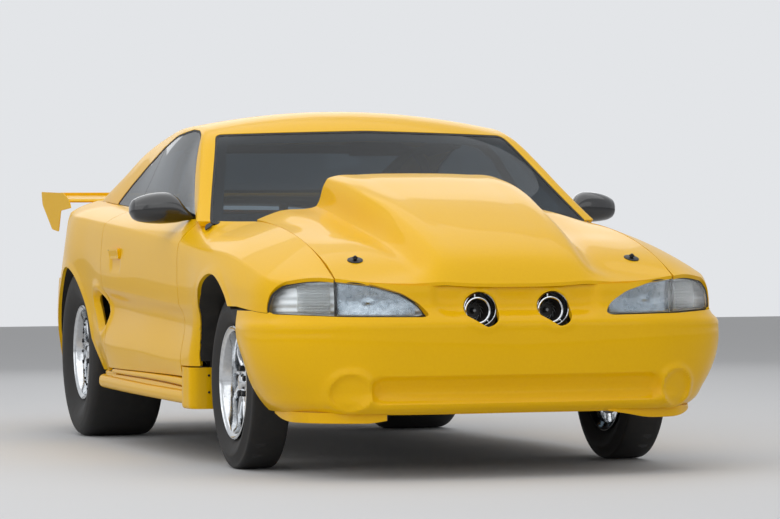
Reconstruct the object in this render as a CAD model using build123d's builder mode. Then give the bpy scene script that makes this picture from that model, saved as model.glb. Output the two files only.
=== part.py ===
"""A two-door drag racing coupe, standing on its wheels. Millimetres, +Z up, the nose towards -Y.

The origin is on the ground, midway between the nose and the tail of the wing, on the centre plane.
Stations along the car are measured rearwards from the front axle and turned into Y by at().
Heights are above the ground. The right side is -X and the left, where the driver sits, is +X.
"""
from math import cos, hypot, radians, sin
import os

from build123d import *

os.makedirs("parts", exist_ok=True)

# Driving dimensions along the car, from the front axle
WHEELBASE = 2573.0
NOSE = 965.0
WING_TAIL = 3747.0
MIDDLE = (WING_TAIL - NOSE) / 2
DOOR_FRONT = 560.0
DOOR_REAR = 1850.0
HOOD_REAR = 290.0
DECK_FRONT = 2960.0
TULIP_REAR = 2950.0
DECK_REAR = 3480.0
FENDER_FRONT = -790.0
# Step up of the floor ahead of the rear axle, and the end of the side skirts
FLOOR_STEP = WHEELBASE - 385.0
SKIRT_REAR = WHEELBASE - 500.0

# Wall thicknesses and gaps
FENDER_WALL = 14.0
DOOR_WALL = 80.0
QUARTER_WALL = 60.0
HOOD_WALL = 14.0
DECK_WALL = 24.0
BUMPER_WALL = 40.0
ROOF_WALL = 24.0
GLASS_SINK = 3.0
GLASS_WALL = 5.0
GAP = 6.0
PANE_GAP = 0.3
DOOR_GAP = 8.0

# Wheels and tyres
FRONT_TYRE_R = 311.0
FRONT_TYRE_W = 160.0
FRONT_RIM_W = 130.0
FRONT_OUTER_X = 790.0
REAR_TYRE_R = 365.0
REAR_TYRE_W = 325.0
REAR_RIM_W = 265.0
REAR_OUTER_X = 846.0
RIM_R = 204.5
RIM_SEAT_R = 190.5
HUB_R = 72.0
BORE_R = 35.0
ARCH_R = 386.0
FRONT_ARCH_Z = 318.0
REAR_ARCH_R = 394.0
REAR_ARCH_Z = 344.0
LINER_GAP = 8.0
LINER_WALL = 6.0
# Floor and boot floor: underside heights and sheet thickness
FLOOR_Z = 238.0
BOOT_Z = 508.0
FLOOR_SHEET = 12.0
# Rear axle: tube and housing radius, and places of its two springs and links
AXLE_R = 40.0
AXLE_HOUSING_R = 140.0
REAR_LINK_X = 440.0
HOUSE_X = 812.0
HOUSE_FRONT_X = 766.0
KINGPIN_X = 600.0
RUNNING_FIT = 0.05
SEAT = 0.3

# Joints
DOOR_HINGE = (834.0, 620.0)
HOOD_HINGE = (286.0, 872.0)
DECK_HINGE = (3000.0, 1044.0)

# Side of the body, right to left symmetric. Columns: station, then x and z of the top edge (hood gap or
# belt line), the shoulder crease, the widest line, the door crease, the scallop, the lower crease, the sill
SIDE = [
    (-790, 617, 683, 700, 672, 716, 640, 722, 600, 722, 540, 720, 400, 690, 230),
    (-640, 617, 745, 790, 680, 806, 640, 812, 600, 812, 540, 806, 400, 780, 230),
    (-400, 621, 815, 815, 727, 848, 660, 852, 600, 852, 540, 845, 400, 810, 230),
    (-150, 619, 860, 821, 770, 855, 700, 858, 600, 856, 540, 846, 400, 806, 230),
    (250, 622, 893, 836, 799, 853, 700, 848, 590, 838, 555, 832, 385, 820, 230),
    (370, 676, 897, 839, 808, 848, 706, 844, 590, 836, 556, 836, 381, 826, 254),
    (560, 762, 905, 845, 821, 852, 716, 843, 588, 834, 556, 842, 374, 830, 300),
    (1200, 745, 945, 856, 871, 866, 770, 860, 620, 842, 570, 862, 396, 838, 302),
    (1850, 722, 977, 860, 917, 876, 820, 874, 652, 838, 596, 868, 418, 846, 304),
    (2150, 712, 994, 858, 936, 878, 830, 868, 668, 856, 600, 848, 430, 796, 300),
    (2573, 694, 1018, 852, 963, 880, 850, 884, 690, 884, 600, 878, 440, 856, 308),
    (2960, 664, 1036, 790, 984, 810, 880, 836, 700, 845, 600, 846, 460, 824, 310),
    (3250, 662, 1018, 722, 990, 750, 880, 778, 700, 786, 600, 784, 470, 762, 320),
    (3480, 650, 998, 688, 980, 706, 880, 732, 700, 740, 600, 738, 470, 714, 330),
]

# Hood. Columns: station, centre height, then x and z of the scoop edge, the scoop foot, the bulge, the gap
HOOD = [
    (-905, 652, 240, 650, 300, 649, 352, 648, 612, 640),
    (-850, 732, 244, 722, 302, 694, 354, 676, 612, 655),
    (-787, 776, 249, 766, 312, 714, 364, 698, 611, 684),
    (-700, 818, 257, 807, 325, 746, 395, 740, 611, 725),
    (-500, 893, 276, 882, 345, 802, 452, 804, 614, 789),
    (-300, 957, 290, 946, 362, 842, 485, 839, 614, 835),
    (-100, 1006, 314, 995, 378, 882, 501, 877, 612, 866),
    (100, 1049, 325, 1037, 390, 922, 520, 914, 609, 887),
    (290, 1074, 340, 1064, 398, 950, 518, 936, 606, 903),
]

# Deck lid. Columns: station, centre height, x and z of the shoulder, x and z of the edge
DECK = [
    (2950, 1065, 430, 1059, 657, 1036),
    (3250, 1046, 430, 1040, 654, 1018),
    (3480, 1026, 420, 1020, 642, 998),
]

# Fixed panel between the rear window and the deck lid, in the same columns
TULIP = [
    (2800, 1046, 430, 1040, 672, 1029),
    (2950, 1065, 430, 1059, 664, 1035),
]

# Greenhouse in level slices. Columns: height, centre station and corner x, station of the windscreen side,
# x of the side rail, corner x, station of the rear side, centre station
CABIN = [
    (860, 298, 803, 426, 774, 703, 3022, 3145),
    (880, 330, 795, 455, 768, 700, 3000, 3120),
    (1051, 600, 728, 705, 714, 674, 2815, 2905),
    (1163, 775, 682, 872, 681, 652, 2430, 2540),
    (1240, 890, 648, 990, 655, 615, 2210, 2310),
    (1292, 975, 606, 1085, 622, 582, 1990, 2110),
    (1335, 1075, 520, 1190, 540, 480, 1780, 1900),
    (1362, 1220, 330, 1290, 360, 300, 1560, 1640),
]
CABIN_MID = 1400.0

# Front bumper in level slices. Columns: height, station at x 0, 300 and 560, corner x and station,
# side x and station, side x at the arch
NOSE_LEVELS = [
    (236, -925, -918, -872, 678, -748, 748, -590, 750),
    (300, -946, -938, -890, 722, -765, 796, -590, 796),
    (400, -956, -948, -902, 760, -775, 846, -592, 832),
    (500, -963, -954, -906, 768, -778, 861, -594, 858),
    (545, -948, -938, -892, 756, -768, 848, -590, 858),
    (575, -915, -906, -868, 745, -752, 838, -585, 854),
    (652, -902, -890, -848, 730, -735, 820, -575, 850),
]
BUMPER_END = -378.0
# Strip under the bumper: its wall, and its lower edge at the corners and in the middle
DAM_WALL = 30.0
DAM_LOW = 192.0
DAM_MIDDLE_LOW = 222.0

# Tail in level slices. Columns: height, station at x 0 and 450, corner x and station, side x at its front
TAIL_LEVELS = [
    (330, 3600, 3590, 640, 3540, 760),
    (420, 3640, 3628, 684, 3556, 780),
    (620, 3645, 3632, 694, 3556, 785),
    (700, 3600, 3588, 684, 3526, 778),
    (960, 3530, 3520, 636, 3488, 702),
]
TAIL_FRONT = 3254.0

# Wing end plates flare outwards: x at their front and at their rear
PLATE_FRONT_X = 704.0
PLATE_REAR_X = 772.0
PLATE_WALL = 4.0
# Wing end plate, seen from the side. Columns: station, height
PLATE = [(3378, 1012), (3401, 1051), (3477, 1084), (3747, 1096), (3735, 1036), (3614, 917), (3535, 905),
         (3505, 1002)]
# Wing blade, seen from the side. Columns: station, height
BLADE = [(3402, 1046), (3424, 1056), (3725, 1080), (3725, 1064), (3424, 1034), (3404, 1036)]

# Side glass seen from the side. Columns: station, height
WINDOW = [(636, 840), (636, 916), (1040, 1246), (1120, 1270), (1238, 1280), (1513, 1267), (1755, 1223),
          (1978, 1163), (2146, 1094), (2330, 1008), (2330, 840)]
GLASS_SPLIT = ((1700.0, 1233.0), (1862.0, 984.0))

# Headlamp seen from the front. Columns: x, height
LAMP = [(316, 560), (345, 596), (404, 632), (500, 662), (613, 675), (700, 673), (760, 660), (795, 630),
        (806, 590), (806, 564), (600, 554), (335, 551)]
# Headlamp face seen from above. Columns: x, station
LAMP_FACE = [(316, -886), (450, -852), (613, -792), (700, -738), (760, -690), (806, -640)]
LAMP_DEPTH = 70.0
LAMP_CLEAR = 0.3

DRIVER_X = 365.0
SEAT_WIDTH = 430.0
STEER_HUB = (960.0, 800.0)
STEER_AXIS = (cos(radians(20)), sin(radians(20)))
COLUMN_R = 22.0

# Heights of the two arms of a door hinge
HINGE_ARMS = ((695.0, 711.0), (745.0, 761.0))
PIN_R = 5.0
# Hinge lug and its two cheeks on the hood, and posts of the deck lid: x of the faces
HOOD_LUG = (560.0, 572.0)
HOOD_CHEEKS = ((544.0, 556.0), (576.0, 588.0))
DECK_POST = (190.0, 210.0)
# Half length and rise of a deck post's eye above its pin, and the rise of the pocket that it turns in
POST_EYE = 6.0
POST_POCKET = 11.0

INLET_X = 131.0
INLET_Z = 575.0
INLET_R = 60.0
INLET_FACE = -894.0


def at(station):
    """Y of a station measured rearwards from the front axle."""
    return station - MIDDLE


def section_plane(station):
    """The upright plane across the car at a station, with its local y up."""
    return Plane.XZ.offset(-at(station))


def rows_between(table, first, last):
    """The table's rows from one value of its first column to another, with both ends worked out."""
    def row_at(value):
        for low, high in zip(table, table[1:]):
            if low[0] <= value <= high[0]:
                share = (value - low[0]) / (high[0] - low[0])
                return tuple(a + (b - a) * share for a, b in zip(low, high))
        raise ValueError("the table does not reach that value")
    inside = [row for row in table if first + 1 < row[0] < last - 1]
    return [row_at(first), *inside, row_at(last)]


def inset(points, wall):
    """The points moved to the right of their path by the wall thickness."""
    moved = []
    for i, (x, y) in enumerate(points):
        normals = []
        for a, b in ((i - 1, i), (i, i + 1)):
            if a >= 0 and b < len(points):
                dx, dy = points[b][0] - points[a][0], points[b][1] - points[a][1]
                length = hypot(dx, dy)
                normals.append((dy / length, -dx / length))
        n1, n2 = normals[0], normals[-1]
        share = wall / (1 + n1[0] * n2[0] + n1[1] * n2[1])
        moved.append((x + (n1[0] + n2[0]) * share, y + (n1[1] + n2[1]) * share))
    return moved


def ring_inset(points, wall):
    """A closed outline moved inwards by the wall thickness, or outwards if it is negative."""
    area = sum(a[0] * b[1] - b[0] * a[1] for a, b in zip(points, points[1:] + points[:1]))
    ring = points[::-1] if area > 0 else points
    return inset([ring[-1], *ring, ring[0]], wall)[1:-1]


def pairs(row):
    """The values after the first, two by two."""
    return list(zip(row[1::2], row[2::2]))


def closed_face(points):
    """A face with straight sides, in the sketch that is open."""
    Polygon(*points, align=None)


def side_wall(first, last, wall, upright=True):
    """The left body side between two stations. An upright one has a vertical face along its top edge."""
    with BuildPart() as made:
        for row in rows_between(SIDE, first, last):
            outer = pairs(row)
            inner = inset(outer, wall)
            if upright:
                (x0, z0), (x1, z1) = inner[:2]
                share = (outer[0][0] - x0) / (x1 - x0)
                inner[0] = (outer[0][0], z0 + (z1 - z0) * share)
            with BuildSketch(section_plane(row[0])):
                closed_face(outer + inner[::-1])
        loft(ruled=True)
    return made.part


def top_panel(table, first, last, wall):
    """A panel across the car whose rows hold a centre height and then points out to its edge."""
    with BuildPart() as made:
        for row in rows_between(table, first, last):
            half = [(0, row[1]), *zip(row[2::2], row[3::2])]
            outer = [(-x, z) for x, z in half[:0:-1]] + half
            with BuildSketch(section_plane(row[0])):
                closed_face(outer + inset(outer, wall)[::-1])
        loft(ruled=True)
    return made.part


def level_loft(levels, outline):
    """A solid through level outlines. outline turns a row into (x, y) points."""
    with BuildPart() as made:
        for row in levels:
            with BuildSketch(Plane.XY.offset(row[0])):
                closed_face(outline(row))
        loft(ruled=True)
    return made.part


def side_prism(points, x_from, x_to):
    """An outline of stations and heights, extruded across the car from one x to another."""
    with BuildPart() as made:
        with BuildSketch(Plane.YZ.offset(x_from)):
            closed_face([(at(s), z) for s, z in points])
        extrude(amount=x_to - x_from)
    return made.part


def front_prism(points, first, last):
    """An outline of x and height, extruded rearwards from one station to another."""
    with BuildPart() as made:
        with BuildSketch(section_plane(first)):
            closed_face(points)
        extrude(amount=-(last - first))
    return made.part


def plan_prism(points, low, high):
    """An outline of x and station, extruded upwards from one height to another."""
    with BuildPart() as made:
        with BuildSketch(Plane.XY.offset(low)):
            closed_face([(x, at(s)) for x, s in points])
        extrude(amount=high - low)
    return made.part


def block(x_range, stations, heights):
    """A box between two x, two stations and two heights."""
    with BuildPart() as made:
        with Locations((sum(x_range) / 2, at(sum(stations) / 2), sum(heights) / 2)):
            Box(x_range[1] - x_range[0], stations[1] - stations[0], heights[1] - heights[0])
    return made.part


def across(station, height, x_from, x_to, radius):
    """A cylinder that runs across the car."""
    with BuildPart() as made:
        with BuildSketch(Plane.YZ.offset(x_from)):
            with Locations((at(station), height)):
                Circle(radius)
        extrude(amount=x_to - x_from)
    return made.part


def upright_bar(x, station, low, high, radius):
    """An upright cylinder."""
    with BuildPart() as made:
        with BuildSketch(Plane.XY.offset(low)):
            with Locations((x, at(station))):
                Circle(radius)
        extrude(amount=high - low)
    return made.part


def across_length(x, height, first, last, radius):
    """A cylinder that runs along the car."""
    with BuildPart() as made:
        with BuildSketch(section_plane(first)):
            with Locations((x, height)):
                Circle(radius)
        extrude(amount=-(last - first))
    return made.part


def tube(points, radius):
    """A round bar along points given as x, station, height."""
    with BuildLine() as run:
        Polyline(*[(x, at(s), z) for x, s, z in points])
    with BuildPart() as made:
        with BuildSketch(Plane(origin=run.line @ 0, z_dir=run.line % 0)):
            Circle(radius)
        sweep(path=run.line, transition=Transition.ROUND)
    return made.part


def combine(first, added=(), removed=(), kept=None):
    """The first solid with others added and removed, and then only what lies in kept."""
    with BuildPart() as made:
        add(first)
        for piece in added:
            add(piece)
        for piece in removed:
            add(piece, mode=Mode.SUBTRACT)
        if kept is not None:
            add(kept, mode=Mode.INTERSECT)
    return made.part


def mirrored(piece):
    """The same piece on the other side of the car."""
    with BuildPart() as made:
        add(mirror(piece, about=Plane.YZ, mode=Mode.PRIVATE))
    return made.part


def both_sides(piece):
    """The piece and its mirror image, as two solids that do not touch."""
    return Compound(children=[piece, mirrored(piece)])


def save(piece, name):
    """Labels a finished piece and writes it."""
    piece.label = name
    export_step(piece, f"parts/{name}.step")


# Body sides
def fender():
    """Left front fender, from the headlamp to the door, open at its arch and over the bumper."""
    shell = side_wall(FENDER_FRONT, DOOR_FRONT - DOOR_GAP, FENDER_WALL)
    arch = across(0, FRONT_ARCH_Z, 500, 1000, ARCH_R)
    under = block((500, 1000), (-1000, -300), (0, 584))
    skirt_part = block((500, 1000), (-1000, 800), (0, 366))
    face = [(x, s + LAMP_CLEAR) for x, s in LAMP_FACE[2:]]
    ahead = plan_prism([(500, -1100), (500, face[0][1]), *face, (1000, -590), (1000, -1100)], 300, 1000)
    lamp = front_prism(ring_inset(LAMP, -LAMP_CLEAR), -1100, -560)
    return combine(shell, removed=[arch, under, skirt_part, ahead, lamp])


def door():
    """Left door, as thick as the whole door, from the belt line to the sill."""
    slab = side_wall(DOOR_FRONT, DOOR_REAR, DOOR_WALL, upright=False)
    notches = [block((700, DOOR_HINGE[0] + 9), (DOOR_FRONT - 10, DOOR_HINGE[1] + 20), (low - 6, high + 6))
               for low, high in HINGE_ARMS]
    low, high = HINGE_ARMS[0][0] - 17, HINGE_ARMS[1][1] + 17
    bore = upright_bar(*DOOR_HINGE, low, high, PIN_R + RUNNING_FIT)
    return combine(slab, removed=[*notches, bore])


def door_hinges():
    """Left hinge pin with the two arms that hold it, from the hinge pillar."""
    x, s = DOOR_HINGE
    outline = [(700, 545 + SEAT), (738, 545 + SEAT), (742, 566), (768, s - 22), (x + 2, s - 8), (x + 6, s),
               (x + 2, s + 8), (770, s - 2), (735, 600), (700, 560)]
    arms = [plan_prism(outline, low, high) for low, high in HINGE_ARMS]
    return combine(upright_bar(x, s, HINGE_ARMS[0][0] - 15, HINGE_ARMS[1][1] + 15, PIN_R), added=arms)


def quarter():
    """Left quarter panel, open at the rear arch and at the side scoop."""
    shell = side_wall(DOOR_REAR + DOOR_GAP, DECK_REAR, QUARTER_WALL)
    arch = across(WHEELBASE, REAR_ARCH_Z, 500, 1000, REAR_ARCH_R)
    bumper = block((500, 1000), (TAIL_FRONT - SEAT, 4000), (0, 690))
    scoop = side_prism([(1900, 600), (1960, 628), (2050, 600), (2040, 520), (1960, 470)], 845, 1000)
    house = across(WHEELBASE, REAR_ARCH_Z, 500, HOUSE_X, REAR_ARCH_R + LINER_GAP + LINER_WALL + SEAT)
    return combine(shell, removed=[arch, bumper, scoop, house])


def side_skirt():
    """Left side skirt: a sill board along the car with a riser behind the front wheel."""
    inner_x = 740 + SEAT
    plan = [(inner_x, 392), (836, 392), (840, 600), (850, 1300), (842, SKIRT_REAR), (inner_x, SKIRT_REAR)]
    side = [(392, 212), (392, 288), (SKIRT_REAR, 292), (SKIRT_REAR, 240)]
    board = combine(plan_prism(plan, 200, 400), kept=side_prism(side, 700, 900))
    riser = side_prism([(398, 200), (410, 360), (548, 360), (548, 200)], 744, 826)
    return combine(board, added=[riser])


# Greenhouse
def cabin_outline(row, shrink):
    """One level outline of the greenhouse, inset all round."""
    height, front, corner_x, corner_s, rail, rear_x, rear_s, rear = row
    half = [(0, front), (corner_x * 0.62, front + (corner_s - front) * 0.38), (corner_x, corner_s),
            (rail, CABIN_MID), (rear_x, rear_s), (rear_x * 0.62, rear - (rear - rear_s) * 0.38), (0, rear)]
    ring = half + [(-x, s) for x, s in half[-2:0:-1]]
    points = [(x, at(s)) for x, s in ring]
    return ring_inset(points, shrink) if shrink else points


def cabin(drop, shrink):
    """The greenhouse as a solid, lowered and inset to make an inner surface."""
    levels = [(row[0] - drop, *row[1:]) for row in CABIN]
    return level_loft(levels, lambda row: cabin_outline(row, shrink))


# Line under the greenhouse, seen from the side: seated on the fenders and quarters, clear of the doors
BELT = [(250, 700), (250, 870.3), (425, 870.3), (426, 900.2), (554, 905.3), (555, 911), (1200, 951),
        (1855, 984), (1856, 978), (2150, 994.5), (2573, 1018.5), (2960, 1036.5), (3300, 1036.5), (3300, 700)]
SCREEN = [(-742, 906), (742, 906), (592, 1250), (0, 1264), (-592, 1250)]
BACKLIGHT = [(-610, 1068), (610, 1068), (560, 1200), (500, 1256), (0, 1266), (-500, 1256), (-560, 1200)]


def roof():
    """Roof skin with its windscreen pillars, rails and rear pillars."""
    return combine(
        cabin(0, 0),
        removed=[
            cabin(ROOF_WALL, ROOF_WALL),
            side_prism(BELT, -1000, 1000),
            front_prism(SCREEN, 100, 1150),
            front_prism(BACKLIGHT, 1950, 3200),
            side_prism(WINDOW, -1000, -500),
            side_prism(WINDOW, 500, 1000),
            fender_left,
            mirrored(fender_left),
        ],
    )


def glass_shell():
    """A thin skin just under the greenhouse surface, from which every pane is cut."""
    inner = GLASS_SINK + GLASS_WALL
    return combine(cabin(GLASS_SINK, GLASS_SINK), removed=[cabin(inner, inner)])


# Wheels
def tyre(radius, width, rim_width, outer_x):
    """A tyre on the left side, with its outer sidewall at outer_x."""
    side, tread = width / 2, width * 0.42
    seat = rim_width / 2 - 11
    mid = outer_x - side
    profile = [(-seat, RIM_SEAT_R + SEAT), (-seat, RIM_R + 4), (-side, (radius + RIM_R) / 2 - 6),
               (-side + 3, radius - 42), (-tread - 4, radius - 10), (-tread + 10, radius - 1.5)]
    ring = profile + [(0, radius)] + [(-x, r) for x, r in profile[::-1]]
    with BuildPart() as made:
        with BuildSketch(Plane.XZ):
            inner_x, inner_r = seat - 16, RIM_SEAT_R + SEAT
            closed_face([*ring, (inner_x, inner_r), (inner_x, RIM_R + 12), (-inner_x, RIM_R + 12),
                         (-inner_x, inner_r)])
        revolve(axis=Axis.X)
    return mid, made.part


def rim(width):
    """A spoked rim on the left side: barrel, face disc with windows, and hub bore."""
    half = width / 2
    lip = [(-half, RIM_R), (-half, RIM_R - 10), (-half + 32, 168), (half - 36, 168), (half, RIM_R - 10),
           (half, RIM_R), (half - 7, RIM_R), (half - 10, RIM_SEAT_R), (half - 28, RIM_SEAT_R),
           (half - 36, 174), (-half + 32, 174), (-half + 28, RIM_SEAT_R), (-half + 10, RIM_SEAT_R),
           (-half + 7, RIM_R)]
    with BuildPart() as made:
        with BuildSketch(Plane.XZ):
            closed_face(lip)
        revolve(axis=Axis.X)
        with BuildSketch(Plane.YZ.offset(half - 46)):
            Circle(171)
        extrude(amount=14)
        with BuildSketch(Plane.YZ.offset(half - 60)):
            Circle(HUB_R)
        extrude(amount=44)
        with BuildSketch(Plane.YZ.offset(half - 80)):
            with PolarLocations(124, 8):
                SlotOverall(72, 46)
        extrude(amount=80, mode=Mode.SUBTRACT)
        with BuildSketch(Plane.YZ.offset(half - 80)):
            Circle(BORE_R)
        extrude(amount=58, mode=Mode.SUBTRACT)
    return made.part


def wheel(station, radius, width, rim_width, outer_x):
    """Tyre and rim of one left wheel, in place."""
    mid, rubber = tyre(radius, width, rim_width, outer_x)
    where = Pos(mid, at(station), radius)
    return where * rubber, where * rim(rim_width)


fender_left = fender()
quarter_left = quarter()
save(both_sides(fender_left), "fenders")
save(both_sides(quarter_left), "quarter_panels")
save(both_sides(door_hinges()), "door_hinges")
save(both_sides(side_skirt()), "side_skirts")

roof_piece = roof()
save(roof_piece, "roof_and_pillars")
shell = glass_shell()
save(combine(shell, kept=front_prism(ring_inset(SCREEN, PANE_GAP), 100, 1150)), "windscreen")
save(combine(shell, kept=front_prism(ring_inset(BACKLIGHT, PANE_GAP), 1950, 3200)), "rear_window")
(split_top, split_low) = GLASS_SPLIT
side_opening = ring_inset(WINDOW, PANE_GAP)
behind_split = [(split_top[0] + 4, 1400), (split_top[0] + 4, split_top[1]), (split_low[0] + 4, split_low[1]),
                (split_low[0] + 4, 800), (2600, 800), (2600, 1400)]
left_glass = combine(shell, removed=[side_prism(BELT, -1000, 1000)], kept=side_prism(side_opening, 500, 1000))
door_opening = ring_inset([*WINDOW[:6], split_top, split_low, (split_low[0], 840)], GAP)
door_line = [(s, z + SEAT) for s, z in ((500, 901), (560, 905), (1200, 945), (1850, 977), (1870, 978))]
door_shell = combine(shell, kept=side_prism([*door_line, (1870, 1400), (500, 1400)], 500, 1000))
door_pane = combine(door_shell, kept=side_prism(door_opening, 400, 1000))
quarter_pane = combine(left_glass, kept=side_prism(behind_split, 400, 1000))
save(both_sides(quarter_pane), "quarter_windows")

door_left = door()
for side_name, flip in (("left", False), ("right", True)):
    for name, piece in (("door", door_left), ("door_glass", door_pane)):
        save(mirrored(piece) if flip else piece, f"{name}_{side_name}")

# Mirrors
with BuildPart() as mirror_pod:
    with BuildSketch(Plane.YZ.offset(860)):
        with Locations((at(742), 952)):
            Ellipse(62, 46)
    with BuildSketch(Plane.YZ.offset(930)):
        with Locations((at(748), 955)):
            Ellipse(66, 50)
    with BuildSketch(Plane.YZ.offset(986)):
        with Locations((at(756), 952)):
            Ellipse(28, 24)
    loft()
    with BuildSketch(Plane.YZ.offset(776)):
        with Locations((at(712), 910)):
            Ellipse(40, 16)
    with BuildSketch(Plane.YZ.offset(870)):
        with Locations((at(738), 940)):
            Ellipse(40, 18)
    loft()
mirror_left = combine(mirror_pod.part, removed=[door_left])
save(mirror_left, "mirror_left")
save(mirrored(mirror_left), "mirror_right")

# Hood, cowl and deck
lead_half = [(404, -868 + GAP), (613, -792 + GAP), (700, -700), (700, -1100)]
lead = [*[(-x, s) for x, s in lead_half[::-1]], (0, -905 + GAP), *lead_half]
hood = combine(top_panel(HOOD, -905, HOOD_REAR, HOOD_WALL), removed=[plan_prism(lead, 400, 1200)])
hood_top = [(s, z + 30, *[v + 30 if i % 2 else v for i, v in enumerate(rest)]) for s, z, *rest in HOOD]
lugs = [block(sorted((way * HOOD_LUG[0], way * HOOD_LUG[1])), (HOOD_HINGE[0] - 14, HOOD_REAR), (860, 930))
        for way in (-1, 1)]
lug_bore = across(*HOOD_HINGE, -700, 700, PIN_R + RUNNING_FIT)
lugs = [combine(lug, removed=[top_panel(hood_top, -905, HOOD_REAR, 30), lug_bore]) for lug in lugs]
save(combine(hood, added=lugs), "hood")
cowl = combine(
    plan_prism([(-735, 450), (-640, 300), (640, 300), (735, 450), (440, 405), (0, 375), (-440, 405)],
               850, 870),
    removed=[fender_left, mirrored(fender_left)]
    + [block((way * 566 - 28, way * 566 + 28), (290, 373), (840, 880)) for way in (-1, 1)],
)
save(cowl, "cowl_panel")
shelf = combine(top_panel(TULIP, 2800, TULIP_REAR, 14),
                removed=[quarter_left, mirrored(quarter_left), roof_piece])
eye_front, eye_rear, eye_top = DECK_HINGE[0] - POST_EYE, DECK_HINGE[0] + POST_EYE, DECK_HINGE[1] + POST_EYE
neck = [(2922, 985), (eye_rear, 985), (eye_rear, eye_top), (eye_front, eye_top), (eye_front, 1000),
        (2934, 1000), (2934, 1050), (2922, 1050)]
necks = [side_prism(neck, *sorted((way * DECK_POST[0], way * DECK_POST[1]))) for way in (-1, 1)]
pins = [across(*DECK_HINGE, *sorted((way * (DECK_POST[0] - 14), way * (DECK_POST[1] + 14))), PIN_R)
        for way in (-1, 1)]
high_tulip = [(s, z + 30, *[v + 30 if i % 2 else v for i, v in enumerate(rest)]) for s, z, *rest in TULIP]
save(combine(shelf, added=necks + pins, removed=[top_panel(high_tulip, 2800, TULIP_REAR, 30)]), "rear_shelf")
deck_cuts = [block(sorted((way * (DECK_POST[0] - 7), way * (DECK_POST[1] + 7))),
                   (DECK_FRONT - 5, DECK_HINGE[0] + 14), (980, DECK_HINGE[1] + POST_POCKET))
             for way in (-1, 1)]
deck_cuts += [across(*DECK_HINGE, *sorted((way * 170, way * 230)), PIN_R + RUNNING_FIT) for way in (-1, 1)]
save(combine(top_panel(DECK, DECK_FRONT, DECK_REAR, DECK_WALL), removed=deck_cuts), "deck_lid")


# Wing
def wing():
    """Blade, two flared end plates and two stands on the deck lid."""
    lean = (PLATE_REAR_X - PLATE_FRONT_X) / (PLATE[3][0] - PLATE[0][0])
    edges = [(PLATE_FRONT_X + lean * (s - PLATE[0][0]), s) for s in (PLATE[0][0] - 20, WING_TAIL + 20)]
    (front_x, front_s), (rear_x, rear_s) = edges
    corners = [(-front_x, front_s), (front_x, front_s), (rear_x, rear_s), (-rear_x, rear_s)]
    between = plan_prism(corners, 980, 1120)
    blade = combine(side_prism(BLADE, -900, 900), kept=between)
    pieces = []
    for way in (1, -1):
        slab = [(front_x - 1, front_s), (front_x + PLATE_WALL - 1, front_s),
                (rear_x + PLATE_WALL - 1, rear_s), (rear_x - 1, rear_s)]
        slab = plan_prism([(way * x, s) for x, s in slab], 850, 1150)
        pieces.append(combine(side_prism(PLATE, -900, 900), kept=slab))
    pieces += [block((x - 4, x + 4), (3410, 3470), (1018, 1044)) for x in (-380, 380)]
    return combine(blade, added=pieces)


raised_deck = [(s, z + SEAT, *[v + SEAT if i % 2 else v for i, v in enumerate(rest)]) for s, z, *rest in DECK]
save(combine(wing(), removed=[top_panel(raised_deck, DECK_FRONT, DECK_REAR, 60)]), "rear_wing")


# Bumpers
def nose_outline(row, wall):
    """One level outline of the front bumper, a bow with a hollow back."""
    height, centre, s300, s560, corner_x, corner_s, side_x, side_s, end_x = row
    half = [(0, centre), (300, s300), (560, s560), (corner_x, corner_s), (side_x, side_s),
            (end_x, BUMPER_END)]
    outer = [(-x, at(s)) for x, s in half[:0:-1]] + [(x, at(s)) for x, s in half]
    inner = [(x, -y) for x, y in inset([(x, -y) for x, y in outer], wall)]
    inner[0] = (inner[0][0], at(BUMPER_END))
    inner[-1] = (inner[-1][0], at(BUMPER_END))
    return outer + inner[::-1]


under_hood = [(s, z - 1, *[v - 1 if i % 2 else v for i, v in enumerate(rest)]) for s, z, *rest in HOOD]
hood_space = combine(top_panel(under_hood, -905, 0, HOOD_WALL + GAP), removed=[plan_prism(lead, 400, 1200)])
high_hood = [(s, z + 100, *[v + 100 if i % 2 else v for i, v in enumerate(rest)]) for s, z, *rest in HOOD]
above_hood = combine(top_panel(high_hood, -905, 0, 101), removed=[plan_prism(lead, 400, 1200)])
bow = level_loft(NOSE_LEVELS, lambda row: nose_outline(row, BUMPER_WALL))
lamp_hole = ring_inset(LAMP, -LAMP_CLEAR)
cuts = [hood_space, above_hood]
for way in (1, -1):
    cuts.append(front_prism([(way * x, z) for x, z in lamp_hole], -1000, -500))
    for over_lamp in ([(440, 640), (405, 700), (1000, 700), (1000, 560), (800, 572), (790, 640), (700, 660)],
                      [(1000, 580), (790, 580), (700, 650), (700, 720), (1000, 720)]):
        cuts.append(front_prism([(way * x, z) for x, z in over_lamp], -1000, -300))
    house_x = sorted((way * 469, way * (HOUSE_FRONT_X + SEAT)))
    cuts.append(across(0, FRONT_ARCH_Z, *house_x, ARCH_R + LINER_GAP + LINER_WALL + SEAT))
inlets = []
for way in (1, -1):
    with BuildPart() as bore:
        with BuildSketch(section_plane(-1000)):
            with Locations((way * INLET_X, INLET_Z)):
                Circle(INLET_R + SEAT)
        extrude(amount=-200)
    cuts.append(bore.part)
    with BuildPart() as inlet:
        with BuildSketch(section_plane(INLET_FACE)):
            with Locations((way * INLET_X, INLET_Z)):
                Circle(INLET_R)
                Circle(INLET_R - 8, mode=Mode.SUBTRACT)
        extrude(amount=-70)
        with BuildSketch(section_plane(INLET_FACE + 40)):
            with Locations((way * INLET_X, INLET_Z)):
                Circle(INLET_R - 4)
        extrude(amount=-30)
    inlets.append(inlet.part)
cuts.append(across(0, FRONT_ARCH_Z, -1000, 1000, ARCH_R))
front_bumper = combine(bow, removed=cuts)
save(front_bumper, "front_bumper")
save(Compound(children=inlets), "turbo_inlets")
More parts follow.
